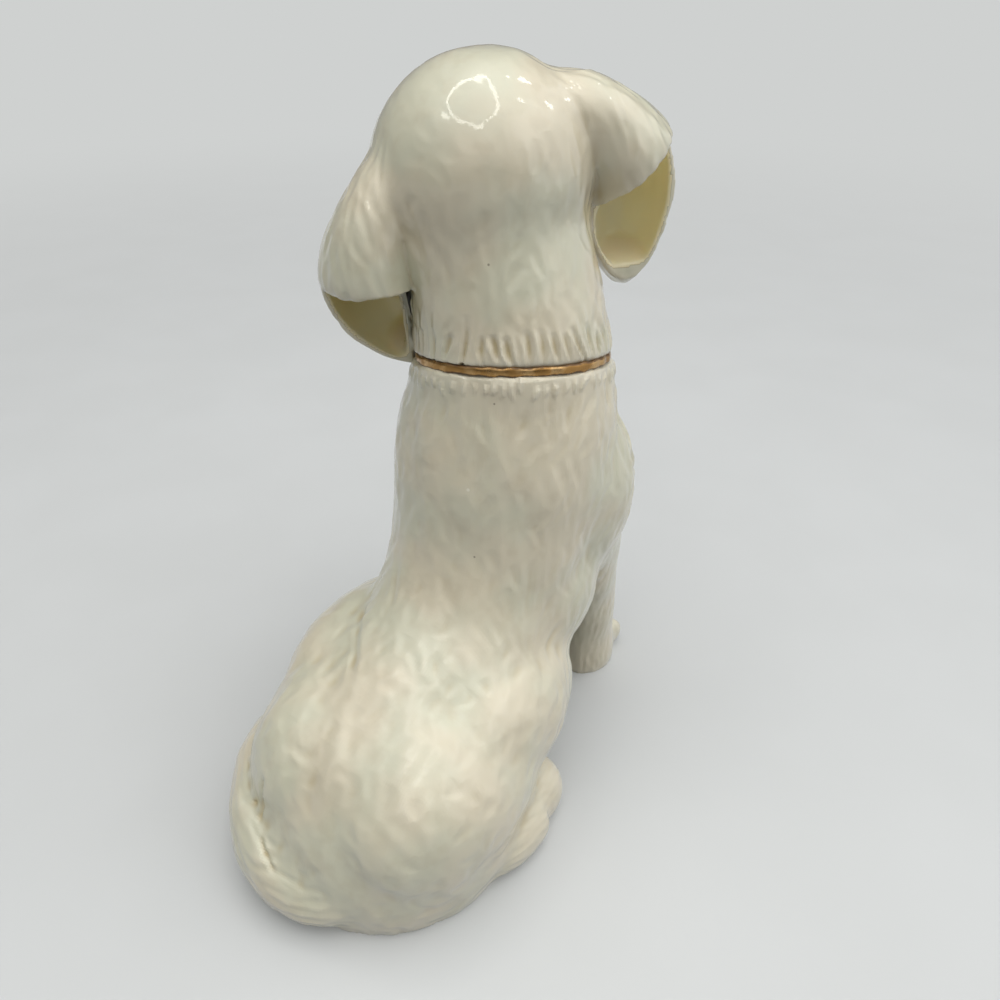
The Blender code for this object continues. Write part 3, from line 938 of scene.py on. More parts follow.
class Skin:
    """A closed skin as arrays of numbers, on which the modeller's marks are made."""

    def __init__(self, obj: Object, seed: int) -> None:
        """Reads a mesh.

        Args:
            obj: The skinned form, which stays as it is.
            seed: Where its random numbers start.
        """
        self.obj = obj
        self.mesh = obj.data
        self.rng = np.random.default_rng(seed)
        self.co = numbers(self.mesh.vertices, "co", 3, float)
        self.mesh.calc_loop_triangles()
        self.tris = numbers(self.mesh.loop_triangles, "vertices", 3)
        edges = numbers(self.mesh.edges, "vertices", 2)
        both = np.concatenate([edges, edges[:, ::-1]])
        both = both[np.argsort(both[:, 0], kind="stable")]
        self.beside = both[:, 1]
        self.count = np.bincount(both[:, 0], minlength=len(self.co))
        self.start = np.concatenate([[0], np.cumsum(self.count)[:-1]])
        self.pool = np.zeros(len(self.co))

    def gaps_to(self, form: Object, reach: float, margin: float) -> np.ndarray:
        """Finds how far each vertex lies from a form.

        Args:
            form: The form.
            reach: How far is looked, in mm.
            margin: How far outside the form's box a vertex may lie, in mm.

        Returns:
            Each vertex's distance in metres, FAR where nothing is within reach.
        """
        tree = BVHTree.FromObject(form, bpy.context.evaluated_depsgraph_get())
        corners = np.array([corner[:] for corner in form.bound_box])
        low, high = corners.min(axis=0) - margin * MM, corners.max(axis=0) + margin * MM
        found = np.full(len(self.co), FAR)
        for index in np.nonzero(np.all((self.co > low) & (self.co < high), axis=1))[0].tolist():
            gap = tree.find_nearest(self.co[index].tolist(), reach * MM)[3]
            if gap is not None:
                found[index] = gap
        return found

    def average(self, values: np.ndarray) -> np.ndarray:
        """The mean of each vertex's neighbours."""
        total = np.add.reduceat(values[self.beside], self.start, axis=0)
        share = self.count if values.ndim == 1 else self.count[:, None]
        return total / share

    def evened(self, values: np.ndarray, steps: int) -> np.ndarray:
        """Values that are blurred over the skin some times."""
        for _ in range(steps):
            values = 0.5 * values + 0.5 * self.average(values)
        return values

    def normals(self) -> np.ndarray:
        """Outward unit normals, weighted by area."""
        a, b, c = (self.co[self.tris[:, i]] for i in range(3))
        face = np.cross(b - a, c - a)
        found = np.zeros_like(self.co)
        for i in range(3):
            for axis in range(3):
                found[:, axis] += np.bincount(self.tris[:, i], face[:, axis], len(self.co))
        return found / np.maximum(np.linalg.norm(found, axis=1, keepdims=True), 1e-12)

    def relax(self, steps: int, factor: float = 0.5, weight: np.ndarray | None = None) -> None:
        """Smooths the skin.

        Args:
            steps: How many times.
            factor: How far each vertex moves to its neighbours' mean.
            weight: A share for each vertex, from 0 to 1.
        """
        share = factor if weight is None else factor * weight[:, None]
        for _ in range(steps):
            self.co += (self.average(self.co) - self.co) * share

    def fill_creases(self, steps: int, weight: np.ndarray | None = None) -> None:
        """Fills the hollows with clay and glaze: only vertices that lie in one are lifted.

        Args:
            steps: How many times.
            weight: A share for each vertex, from 0 to 1.
        """
        share = 0.5 if weight is None else 0.5 * weight
        normal = self.normals()
        for step in range(steps):
            if step % 8 == 7:
                normal = self.normals()
            lift = np.maximum(((self.average(self.co) - self.co) * normal).sum(axis=1), 0.0)
            self.co += normal * (lift * share)[:, None]

    def push(self, amount: np.ndarray) -> None:
        """Moves each vertex outwards by its own amount."""
        self.co += self.normals() * amount[:, None]

    def undulate(self, size: float, height: float) -> None:
        """Gives the skin the slow unevenness of a cast and fired form.

        Args:
            size: The waves' length in mm.
            height: How high they are in mm.
        """
        total = np.zeros(len(self.co))
        for _ in range(9):
            way = self.rng.normal(size=3)
            way *= math.tau / (size * MM * self.rng.uniform(0.7, 1.5)) / np.linalg.norm(way)
            total += np.sin(self.co @ way + self.rng.uniform(0, math.tau))
        self.push(total / 3.0 * height * MM)

    def hollow_measure(self, steps: int) -> np.ndarray:
        """How far each vertex lies below the skin around it, in metres."""
        blurred = self.co.copy()
        for _ in range(steps):
            blurred += (self.average(blurred) - blurred) * 0.5
        return ((blurred - self.co) * self.normals()).sum(axis=1)

    def carve(self, path: Sequence[Vector], groove: Groove) -> None:
        """Draws a rounded groove along a path in metres, on or near the skin."""
        points = np.array(path)
        near = np.full(len(self.co), 1e9)
        taper = np.zeros(len(self.co))
        lengths = np.linalg.norm(np.diff(points, axis=0), axis=1)
        run = np.concatenate([[0.0], np.cumsum(lengths)]) / max(lengths.sum(), 1e-9)
        for i, (a, b) in enumerate(zip(points, points[1:])):
            step = b - a
            t = np.clip((self.co - a) @ step / max(step @ step, 1e-12), 0, 1)
            gap = np.linalg.norm(self.co - a - t[:, None] * step, axis=1)
            at = run[i] + (run[i + 1] - run[i]) * t
            closer = gap < near
            near[closer] = gap[closer]
            taper[closer] = at[closer]
        half = groove.width * MM / 2
        u = near / half
        ends = np.clip(np.minimum(taper, 1 - taper) * 6 + 0.25, 0, 1)
        profile = np.where(u < 1, -((1 - u * u) ** 2), 0.0)
        profile += groove.lip * np.exp(-(((u - 1.25) / 0.35) ** 2))
        self.push(profile * ends * groove.depth * MM)

    def write(self) -> None:
        """Puts the moved vertices and the pooled glaze back on the mesh."""
        self.mesh.vertices.foreach_set("co", self.co.ravel())
        attribute = self.mesh.attributes.new(POOL, "FLOAT", "POINT")
        attribute.data.foreach_set("value", self.pool.astype(np.float32))
        self.mesh.update()


class Comb:
    """Cuts the fur into a skin, stroke by stroke, along the way that the fur lies."""

    deepest: float = 0.8
    highest: float = 0.4

    def __init__(self, skin: Skin, flow: np.ndarray) -> None:
        """Gets ready to cut.

        Args:
            skin: The skin.
            flow: Each vertex's fur direction, which need not lie on the skin.
        """
        self.skin = skin
        self.normal = skin.normals()
        along = flow - self.normal * (flow * self.normal).sum(axis=1, keepdims=True)
        self.flow = along / np.maximum(np.linalg.norm(along, axis=1, keepdims=True), 1e-9)
        self.tree = KDTree(len(skin.co))
        for i, spot in enumerate(skin.co.tolist()):
            self.tree.insert(spot, i)
        self.tree.balance()
        self.dent = np.zeros(len(skin.co))
        self.strokes = 0

    def seeds(self, where: np.ndarray, stroke: Stroke) -> list[int]:
        """Scatters strokes evenly, further apart along the fur than across it.

        Args:
            where: The vertices that may start a stroke.
            stroke: The kind of stroke.

        Returns:
            The vertices at which strokes lie.
        """
        co, along, across = self.skin.co, stroke.along, stroke.across
        cells: dict[tuple[int, ...], list[int]] = {}
        found = []
        order = self.skin.rng.permutation(where)
        keys = np.floor(co[order] / (along * MM)).astype(int)
        steps = [(x, y, z) for x in (-1, 0, 1) for y in (-1, 0, 1) for z in (-1, 0, 1)]
        for index, key in zip(order.tolist(), keys.tolist()):
            near = [i for x, y, z in steps for i in cells.get((key[0] + x, key[1] + y, key[2] + z), ())]
            if near:
                gap = co[near] - co[index]
                ahead = gap @ self.flow[index]
                aside = (gap * gap).sum(axis=1) - ahead * ahead
                if ((ahead / along) ** 2 + aside / across**2 < MM * MM).any():
                    continue
            cells.setdefault(tuple(key), []).append(index)
            found.append(index)
        return found

    def cut(self, index: int, stroke: Stroke) -> None:
        """Cuts one stroke.

        Args:
            index: The vertex at its middle.
            stroke: Its kind.
        """
        rng, co = self.skin.rng, self.skin.co
        half = stroke.length * MM / 2 * rng.uniform(0.7, 1.25)
        wide = stroke.width * MM / 2 * rng.uniform(0.8, 1.25)
        deep = stroke.depth * MM * rng.uniform(0.55, 1.2)
        turn = math.radians(rng.normal(0.0, stroke.wander))
        out = self.normal[index]
        way = self.flow[index] * math.cos(turn) + np.cross(out, self.flow[index]) * math.sin(turn)
        aside = np.cross(out, way)
        hits = self.tree.find_range(co[index].tolist(), half + wide)
        near = np.fromiter((hit[1] for hit in hits), np.int64, len(hits))
        near = near[self.normal[near] @ out > 0.2]
        gap = co[near] - co[index]
        u = gap @ way / half
        bend = rng.normal(0.0, 0.35)
        v = (gap @ aside / wide + bend * (u * u - 0.4)) / (1.0 - 0.35 * np.clip(u, -1, 1))
        lengthwise = np.clip(1 - u * u, 0, 1)
        groove = -np.clip(1 - v * v, 0, 1) ** 2
        rim = stroke.ridge * np.exp(-(((np.abs(v) - 1.25) / 0.4) ** 2))
        np.add.at(self.dent, near, lengthwise * (groove + rim) * deep)
        self.strokes += 1

    def cover(self, coats: np.ndarray) -> None:
        """Covers the skin with each coat's strokes.

        Args:
            coats: The kind of coat at each vertex, as the Enum's numbers.
        """
        for coat, stroke in STROKES.items():
            where = np.nonzero(coats == coat.value)[0]
            if len(where):
                for index in self.seeds(where, stroke):
                    self.cut(index, stroke)

    def row(self, spots: Sequence[Vector], stroke: Stroke) -> None:
        """Cuts one stroke at the skin nearest to each of some places."""
        for spot in spots:
            self.cut(self.tree.find(spot)[1], stroke)

    def press(self) -> None:
        """Presses all strokes into the skin."""
        self.skin.push(np.clip(self.dent, -self.deepest * MM, self.highest * MM))


class Parting:
    """Parts a skin into the castings whose glaze it is.

    Each casting's joint face is tucked below the skin, so that it never shows through the fur.
    """

    ground_height: float = 0.06
    evening: int = 10
    stray_spread: int = 60

    def __init__(self, skin: Skin, forms: dict[str, Object]) -> None:
        """Finds which casting each vertex belongs to, before the fur moves it.

        Args:
            skin: The skin.
            forms: The forms that were blended into it, by their casting's name.
        """
        self.skin = skin
        self.names = list(forms)
        gaps = [skin.gaps_to(form, 4.0, 3.0) for form in forms.values()]
        self.labels = np.argmin(gaps, axis=0)
        self.tidy(self.evening)

    def tidy(self, steps: int) -> None:
        """Evens the lines between castings some times, then gives stray patches to a neighbour."""
        share = self.skin.evened(np.eye(len(self.names))[self.labels], steps)
        self.labels = np.argmax(share, axis=1)
        for _ in range(3):
            if not self.drop_islands():
                return

    def drop_islands(self) -> bool:
        """Gives all but the largest patch of each casting to what lies round it.

        Returns:
            Whether anything changed.
        """
        skin = self.skin
        patch = np.full(len(skin.co), -1)
        sizes: list[tuple[int, int]] = []
        for first in range(len(skin.co)):
            if patch[first] >= 0:
                continue
            label = self.labels[first]
            number = len(sizes)
            patch[first] = number
            stack = [first]
            size = 0
            while stack:
                index = stack.pop()
                size += 1
                begin = skin.start[index]
                for other in skin.beside[begin : begin + skin.count[index]].tolist():
                    if patch[other] < 0 and self.labels[other] == label:
                        patch[other] = number
                        stack.append(other)
            sizes.append((int(label), size))
        keep = set()
        for label in range(len(self.names)):
            own = [(size, i) for i, (kind, size) in enumerate(sizes) if kind == label]
            if own:
                keep.add(max(own)[1])
        stray = ~np.isin(patch, list(keep))
        if not stray.any():
            return False
        share = np.eye(len(self.names))[self.labels]
        share[stray] = 0.0
        for _ in range(self.stray_spread):
            spread = skin.average(share)
            share[stray] = spread[stray]
        self.labels[stray] = np.argmax(share[stray], axis=1)
        return True

    def owned(self, name: str) -> np.ndarray:
        """Whether each vertex belongs to a casting."""
        return self.labels == self.names.index(name)

    def face_owners(self) -> np.ndarray:
        """The number of each face's casting: the one that most of its corners belong to."""
        corner = numbers(self.skin.mesh.loops, "vertex_index")
        sizes = numbers(self.skin.mesh.polygons, "loop_total")
        face = np.repeat(np.arange(len(sizes)), sizes)
        votes = np.zeros((len(sizes), len(self.names)))
        np.add.at(votes, (face, self.labels[corner]), 1.0)
        return np.argmax(votes, axis=1)

    def part(self, finish: Callable[[str, bmesh.types.BMesh], None] | None = None) -> dict[str, Object]:
        """Makes one closed object a casting.

        Args:
            finish: Works on a casting's bmesh before it is stored.

        Returns:
            The objects, by their casting's name.
        """
        skin = self.skin
        normal = skin.normals()
        owner = self.face_owners()
        found = {}
        for number, name in enumerate(self.names):
            bm = bmesh.new()
            bm.from_mesh(skin.mesh)
            source = bm.verts.layers.int.new("source")
            for vert in bm.verts:
                vert[source] = vert.index + 1
            drop = [face for face in bm.faces if owner[face.index] != number]
            bmesh.ops.delete(bm, geom=drop, context="FACES")
            skin_faces = set(bm.faces)
            rim = [edge for edge in bm.edges if edge.is_boundary]
            grown = bmesh.ops.extrude_edge_only(bm, edges=rim)["geom"]
            for item in grown:
                if isinstance(item, bmesh.types.BMVert):
                    item.co -= Vector(normal[item[source] - 1]) * TUCK * MM
            edges = [item for item in grown if isinstance(item, bmesh.types.BMEdge)]
            bmesh.ops.holes_fill(bm, edges=edges, sides=0)
            bmesh.ops.recalc_face_normals(bm, faces=bm.faces)
            if finish:
                finish(name, bm)
            bm.normal_update()
            bare = bm.faces.layers.int.new("bare")
            for face in bm.faces:
                low = face.calc_center_median().z < self.ground_height * MM
                flat = low and face.normal.z < -0.98
                face.material_index = 1 if flat else 0
                face[bare] = int(flat or face not in skin_faces)
                face.smooth = True
            found[name] = stored(name, bm)
            self.shade(found[name].data, normal)
        return found

    @staticmethod
    def shade(mesh: bpy.types.Mesh, normal: np.ndarray) -> None:
        """Gives a casting the whole skin's shading, so that no joint shows through the glaze.

        Args:
            mesh: The casting's mesh.
            normal: The whole skin's vertex normals.
        """
        source = numbers(mesh.attributes["source"].data, "value")
        source = source[numbers(mesh.loops, "vertex_index")]
        sizes = numbers(mesh.polygons, "loop_total")
        bare = np.repeat(numbers(mesh.attributes["bare"].data, "value"), sizes) > 0
        own = bare | (source == 0)
        found = normal[np.maximum(source - 1, 0)]
        found[own] = np.repeat(numbers(mesh.polygons, "normal", 3, float), sizes, axis=0)[own]
        mesh.normals_split_custom_set(found.tolist())
        for layer in ("source", "bare"):
            mesh.attributes.remove(mesh.attributes[layer])


# How the coat lies, and the two skins


@dataclass(frozen=True)
class UpperCoat:
    """Says how the fur lies on head, neck and ears. Sizes in mm."""

    head: HeadForm
    seam: NeckSeam
    skull_low: float = 3.0
    face_back: float = -8.0
    face_top: float = 12.0
    nose_back: float = -24.5
    nose_low: float = -7.5
    fan_height: float = 9.0
    fan_spread: float = 0.7
    fan_reach: float = 18.0
    tuft_height: float = 5.5

    def softness(self, skin: Skin, inside: np.ndarray) -> np.ndarray:
        """How far the clay fills each vertex's hollow: not on the face or in the ears.

        Args:
            skin: The upper skin.
            inside: The vertices inside the ears.

        Returns:
            A share for each vertex.
        """
        at = in_frame(skin.co, self.head.frame())
        back = ramp(at[:, 1], -9.0, 6.0)
        slit = ramp(at[:, 2], -9.5, 3.0)
        aside = ramp(np.abs(at[:, 0]), 13.0, 3.0)
        share = back * np.maximum(slit, 1.0 - aside)
        share[inside] = 0.05
        return skin.evened(share, 4)

    def lay(
        self, skin: Skin, parting: Parting, inside: np.ndarray
    ) -> tuple[np.ndarray, np.ndarray]:
        """Finds each vertex's kind of fur and its direction.

        Args:
            skin: The upper skin.
            parting: Its castings.
            inside: The vertices inside the ears.

        Returns:
            The kinds, and the directions.
        """
        frame = self.head.frame()
        axes = np.array(frame.to_3x3())
        at = in_frame(skin.co, frame)
        up = in_frame(skin.co, self.seam.frame())
        kinds = np.full(len(skin.co), Coat.NECK.value)
        flow = np.tile(np.array((0.0, 0.12, -1.0)), (len(skin.co), 1))
        skull = at[:, 2] > self.skull_low
        kinds[skull] = Coat.CROWN.value
        flow[skull] = np.array((0.0, 1.0, -0.35)) @ axes.T
        face = (at[:, 1] < self.face_back) & (at[:, 2] < self.face_top)
        kinds[face] = Coat.CHEEK.value
        flow[face] = np.array((0.0, 1.0, 0.1)) @ axes.T
        nose = (at[:, 1] < self.nose_back) & (at[:, 2] > self.nose_low)
        kinds[nose] = Coat.BALD.value
        for side in Side:
            ear = parting.owned(f"{side.word}_ear")
            flow[ear] = np.array((0.1, -0.12, -1.0)) @ axes.T
            kinds[ear] = Coat.EAR.value
        kinds[inside] = Coat.BALD.value
        low = up[:, 2] < self.fan_height
        down = -np.array(self.seam.frame().to_3x3())[:, 2]
        right = np.array(CAMERA_RIGHT)
        middle = (0.0, self.seam.back, self.seam.height)
        fan = np.clip(((skin.co / MM - middle) @ right) / self.fan_reach, -1, 1)
        flow[low] = down + right * (fan * self.fan_spread)[low][:, None]
        kinds[up[:, 2] < self.tuft_height] = Coat.BALD.value
        return kinds, flow


def ring_of_spots(
    seam: NeckSeam, rng: np.random.Generator, height: float, spacing: float
) -> list[Vector]:
    """A ring of unevenly spaced places round the neck.

    Args:
        seam: The neck's seam.
        rng: Random numbers.
        height: How high above the seam they lie, in mm.
        spacing: How far apart, in mm.

    Returns:
        The places.
    """
    place, found, angle = seam.frame(), [], 0.0
    radius = seam.core + 1.5
    while angle < math.tau - 0.6 * spacing / radius:
        rise = height + rng.normal(0.0, 0.45)
        spot = Vector((radius * math.cos(angle), radius * math.sin(angle), rise)) * MM
        found.append(place @ spot)
        angle += spacing / radius * rng.uniform(0.72, 1.28)
    return found


@dataclass(frozen=True)
class LowerCoat:
    """Says how the fur lies below the neck seam. Sizes in mm."""

    seam: NeckSeam
    tail: TailForm
    toes_height: float = 11.0
    toes_back: float = -14.0
    rump_height: float = 44.0
    rump_front: float = -16.0
    flank_height: float = 30.0
    ruff_height: float = 36.0
    ruff_back: float = -34.0

    def softness(self, skin: Skin) -> np.ndarray:
        """How far the clay fills each vertex's hollow, as a share: not between the toes."""
        _, y, z = (skin.co / MM).T
        return skin.evened(np.where((z < self.toes_height) & (y < self.toes_back), 0.0, 1.0), 4)

    @staticmethod
    def tail_root(skin: Skin) -> np.ndarray:
        """Where the tail grows out of the rump with no line between them, as a share."""
        x, y, z = (skin.co / MM).T
        return ramp(x, 11.0, -4.0) * ramp(y, 12.0, 4.0) * ramp(z, 0.8, 1.5)

    def lay(self, skin: Skin, parting: Parting) -> tuple[np.ndarray, np.ndarray]:
        """Finds each vertex's kind of fur and its direction.

        Args:
            skin: The lower skin.
            parting: Its castings.

        Returns:
            The kinds, and the directions.
        """
        co = skin.co / MM
        x, y, z = co.T
        normal = skin.normals()
        up = in_frame(skin.co, self.seam.frame())[:, 2]
        kinds = np.full(len(co), Coat.BACK.value)
        flow = np.stack([np.sign(x) * 0.1, np.full_like(x, 0.35), np.full_like(x, -1.0)], axis=1)
        rump = (z < self.rump_height) & (y > self.rump_front)
        kinds[rump] = Coat.RUMP.value
        flow[rump] = np.stack([x * 0.03, np.full_like(x, 0.7), np.full_like(x, -0.8)], axis=1)[rump]
        flank = (np.abs(normal[:, 0]) > 0.72) & (z > self.flank_height) & ~rump
        kinds[flank] = Coat.FLANK.value
        thigh = rump & (np.abs(normal[:, 0]) > 0.8)
        flow[thigh] = (0.0, 0.8, -0.6)
        ruff = (normal[:, 1] < -0.35) & (z > self.ruff_height) & (y < self.ruff_back)
        kinds[ruff] = Coat.RUFF.value
        flow[ruff] = np.stack([x * 0.018, np.full_like(x, -0.1), np.full_like(x, -1.0)], axis=1)[ruff]
        for limb, way, toes in ((FORELEG, (0.0, 0.0, -1.0), -60), (HIND_FOOT, (0.0, -1.0, -0.2), -9)):
            for side in Side:
                own = parting.owned(f"{side.word}_{limb.name}")
                kinds[own] = Coat.LEG.value
                flow[own] = way
                kinds[own & (z < 7.5) & (y < toes)] = Coat.BALD.value
        own = parting.owned("tail")
        kinds[own] = Coat.TAIL.value
        path = np.array(self.tail.path())
        steps = np.gradient(path, axis=0)
        gaps = np.linalg.norm(skin.co[own][:, None] - path[None], axis=2)
        flow[own] = steps[np.argmin(gaps, axis=1)]
        under = (normal[:, 2] < -0.7) & (z < 1.5)
        kinds[under | (up > -5.5)] = Coat.BALD.value
        return kinds, flow


LEFT_KNEE = ((15.5, -7.6, 42.4), (12.8, -3.2, 42.2), (9.0, 2.4, 41.2), (6.0, 6.9, 39.8))
ABOVE_TAIL = ((13.4, 24.9, 25.8), (13.2, 26.2, 21.0), (13.0, 27.4, 16.5))
BELOW_TAIL = ((11.0, 29.9, 15.9), (9.4, 30.8, 15.2), (7.4, 31.7, 14.2), (5.4, 32.3, 13.4))


@dataclass(frozen=True)
class GlazedPuppy:
    """Every glazed casting: the two skins, their marks, and how they are parted. Sizes in mm."""

    seam: NeckSeam = NeckSeam()
    body: BodyForm = BodyForm()
    head: HeadForm = HeadForm()
    tail: TailForm = TailForm()
    vent_radius: float = 8.5
    vent_back: float = 11.0
    vent_depth: float = 12.0
    upper_voxel: float = 0.38
    lower_voxel: float = 0.505
    first_fill: int = 12
    upper_fill: int = 200
    lower_fill: int = 76
    root_fill: int = 220
    wave_length: float = 9.0
    upper_wave: float = 0.12
    lower_wave: float = 0.16
    upper_seed: int = 11
    lower_seed: int = 23
    creases: tuple[tuple[tuple[Row, ...], Groove], ...] = (
        (LEFT_KNEE, Groove(3.4, 0.4, 0.0)),
        (ABOVE_TAIL, Groove(1.4, 0.5, 0.1)),
        (BELOW_TAIL, Groove(1.4, 0.55, 0.1)),
    )
    upper_tufts: tuple[Ring, ...] = ((3.9, 3.0, TUFT), (7.6, 3.8, NAPE_TUFT))
    lower_tufts: tuple[Ring, ...] = ((-2.9, 2.0, BELOW_COLLAR), (-7.4, 3.6, NAPE_TUFT))

    def build(self) -> dict[str, Object]:
        """Models both skins.

        Returns:
            The glazed castings, by name.
        """
        return {**self.upper(), **self.lower()}

    @staticmethod
    def blended(name: str, forms: dict[str, Object], voxel: float, seed: int) -> tuple[Skin, Parting]:
        """Blends forms into one skin.

        Args:
            name: The skin's name.
            forms: The castings' forms, by name.
            voxel: How finely it is skinned, in mm.
            seed: Where its random numbers start.

        Returns:
            The skin, and how it is parted into the castings.
        """
        skin = Skin(skinned(joined(name, list(forms.values())), voxel, 0), seed)
        skin.relax(2)
        return skin, Parting(skin, forms)

    def comb(
        self, skin: Skin, kinds: np.ndarray, flow: np.ndarray, rings: Sequence[Ring]
    ) -> None:
        """Cuts the fur, softens it as glaze does, and notes where the glaze lies thick.

        Args:
            skin: The skin.
            kinds: Each vertex's kind of fur.
            flow: Each vertex's fur direction.
            rings: The rings of tufts.
        """
        comb = Comb(skin, flow)
        comb.cover(kinds)
        for height, spacing, stroke in rings:
            comb.row(ring_of_spots(self.seam, skin.rng, height, spacing), stroke)
        comb.press()
        LOG.info("%s: %d vertices, %d strokes", skin.obj.name, len(skin.co), comb.strokes)
        skin.relax(1, 0.35)
        hollow = skin.hollow_measure(20) / (DEEP_POOL * MM)
        skin.pool = np.clip(skin.evened(hollow, 5), -1, 1)

    @staticmethod
    def inside_of(skin: Skin, hollows: Sequence[Object]) -> np.ndarray:
        """Whether each vertex lies on the wall of a hollow."""
        return np.min([skin.gaps_to(hollow, 0.5, 1.0) for hollow in hollows], axis=0) < FAR

    def upper(self) -> dict[str, Object]:
        """Head, neck and ears."""
        place = self.head.frame()
        head = self.head.form()
        forms = {"head_casting": head}
        hollows = []
        for side in Side:
            ear = EarForm(side)
            hollows.append(ear.hollow(head, place))
            forms[f"{side.word}_ear"] = ear.form(head, place, hollows[-1])
        self.seam.cut(head, True)
        skin, parting = self.blended("upper_skin", forms, self.upper_voxel, self.upper_seed)
        inside = self.inside_of(skin, hollows)
        coat = UpperCoat(self.head, self.seam)
        skin.fill_creases(self.first_fill)
        skin.fill_creases(self.upper_fill, coat.softness(skin, inside))
        skin.relax(24, 0.5, 0.9 * coat.softness(skin, inside))
        skin.undulate(self.wave_length, self.upper_wave)
        self.cut_face(skin, place)
        self.comb(skin, *coat.lay(skin, parting, inside), self.upper_tufts)
        # The ears' insides are marked for the glaze's painted glow
        skin.pool[inside] = INSIDE_EAR
        skin.write()
        pieces = parting.part()
        discard(skin.obj, *hollows, *forms.values())
        return pieces

    def cut_face(self, skin: Skin, place: Matrix) -> None:
        """Cuts mouth, nostrils and eyelids.

        Args:
            skin: The upper skin.
            place: The head's frame.
        """
        tree = BVHTree.FromPolygons([Vector(v) for v in skin.co], skin.tris.tolist())

        def cut(rows: Sequence[Row], side: int, groove: Groove) -> None:
            """Cuts a line that is given in the head's frame, once it is dropped onto the skin."""
            path = [Vector((side * row[0], *row[1:])) * MM for row in eased(rows, 5)]
            skin.carve([tree.find_nearest(place @ spot)[0] for spot in path], groove)

        head = self.head
        across, back, up = head.eyelid
        half_across, half_back, half_up = head.eyelid_half
        eyelid = [
            (
                across + half_across * math.cos(angle), back + half_back * abs(math.cos(angle)),
                up + half_up * math.sin(angle),
            )
            for angle in np.linspace(math.radians(-160), math.radians(200), 13)
        ]
        cut(head.philtrum, 1, PHILTRUM)
        for side in Side:
            cut(head.mouth, side.value, MOUTH)
            cut(head.nostril, side.value, NOSTRIL)
            cut(eyelid, side.value, EYELID)

    def lower(self) -> dict[str, Object]:
        """Everything below the neck seam."""
        body = self.body.form()
        plane_cut(body, Matrix.Identity(4), True)
        self.seam.cut(body, False)
        forms = {"body_casting": body, "tail": self.tail.form()}
        paws: list[tuple[Side, Paw]] = []
        for side in Side:
            for limb in (FORELEG, HIND_FOOT):
                forms[f"{side.word}_{limb.name}"] = limb.form(side)
                paws.append((side, limb.paw))
        skin, parting = self.blended("lower_skin", forms, self.lower_voxel, self.lower_seed)
        coat = LowerCoat(self.seam, self.tail)
        skin.fill_creases(self.first_fill)
        skin.fill_creases(self.lower_fill, coat.softness(skin))
        skin.fill_creases(self.root_fill, coat.tail_root(skin))
        skin.undulate(self.wave_length, self.lower_wave)
        tree = BVHTree.FromPolygons([Vector(v) for v in skin.co], skin.tris.tolist())
        for side, paw in paws:
            for cleft in paw.clefts(side):
                skin.carve([tree.find_nearest(spot)[0] for spot in cleft], TOE_CLEFT)
        for rows, groove in self.creases:
            skin.carve([tree.find_nearest(Vector(row) * MM)[0] for row in eased(rows)], groove)
        self.comb(skin, *coat.lay(skin, parting), self.lower_tufts)
        self.grind(skin)
        skin.write()
        pieces = parting.part(self.pierce)
        discard(skin.obj, *forms.values())
        return pieces

    @staticmethod
    def grind(skin: Skin) -> None:
        """Grinds the underside flat on the floor."""
        under = (skin.co[:, 2] < 0.45 * MM) & (skin.normals()[:, 2] < -0.75)
        skin.co[under, 2] = 0.0
        skin.co[:, 2] = np.maximum(skin.co[:, 2], 0.0)

    def pierce(self, name: str, bm: bmesh.types.BMesh) -> None:
        """Pierces the body's foot with its vent.

        Args:
            name: The casting that is being finished.
            bm: Its bmesh.
        """
        if name != "body_casting":
            return
        centre = Vector((0.0, self.vent_back, 0.0)) * MM
        radius = self.vent_radius * MM
        inside = [
            face for face in bm.faces
            if face.normal.z < -0.9
            and face.calc_center_median().z < 0.1 * MM
            and (face.calc_center_median() - centre).length < radius
        ]
        before = {edge for edge in bm.edges if edge.is_boundary}
        bmesh.ops.delete(bm, geom=inside, context="FACES")
        rim = [edge for edge in bm.edges if edge.is_boundary and edge not in before]
        for vert in {v for edge in rim for v in edge.verts}:
            out = vert.co - centre
            out.z = 0.0
            vert.co = centre + out.normalized() * radius
        grown = bmesh.ops.extrude_edge_only(bm, edges=rim)["geom"]
        top = [item for item in grown if isinstance(item, bmesh.types.BMVert)]
        source = bm.verts.layers.int["source"]
        for vert in top:
            vert[source] = 0
        bmesh.ops.translate(bm, vec=(0, 0, self.vent_depth * MM), verts=top)
        edges = [item for item in grown if isinstance(item, bmesh.types.BMEdge)]
        bmesh.ops.holes_fill(bm, edges=edges, sides=0)
        bmesh.ops.recalc_face_normals(bm, faces=bm.faces)


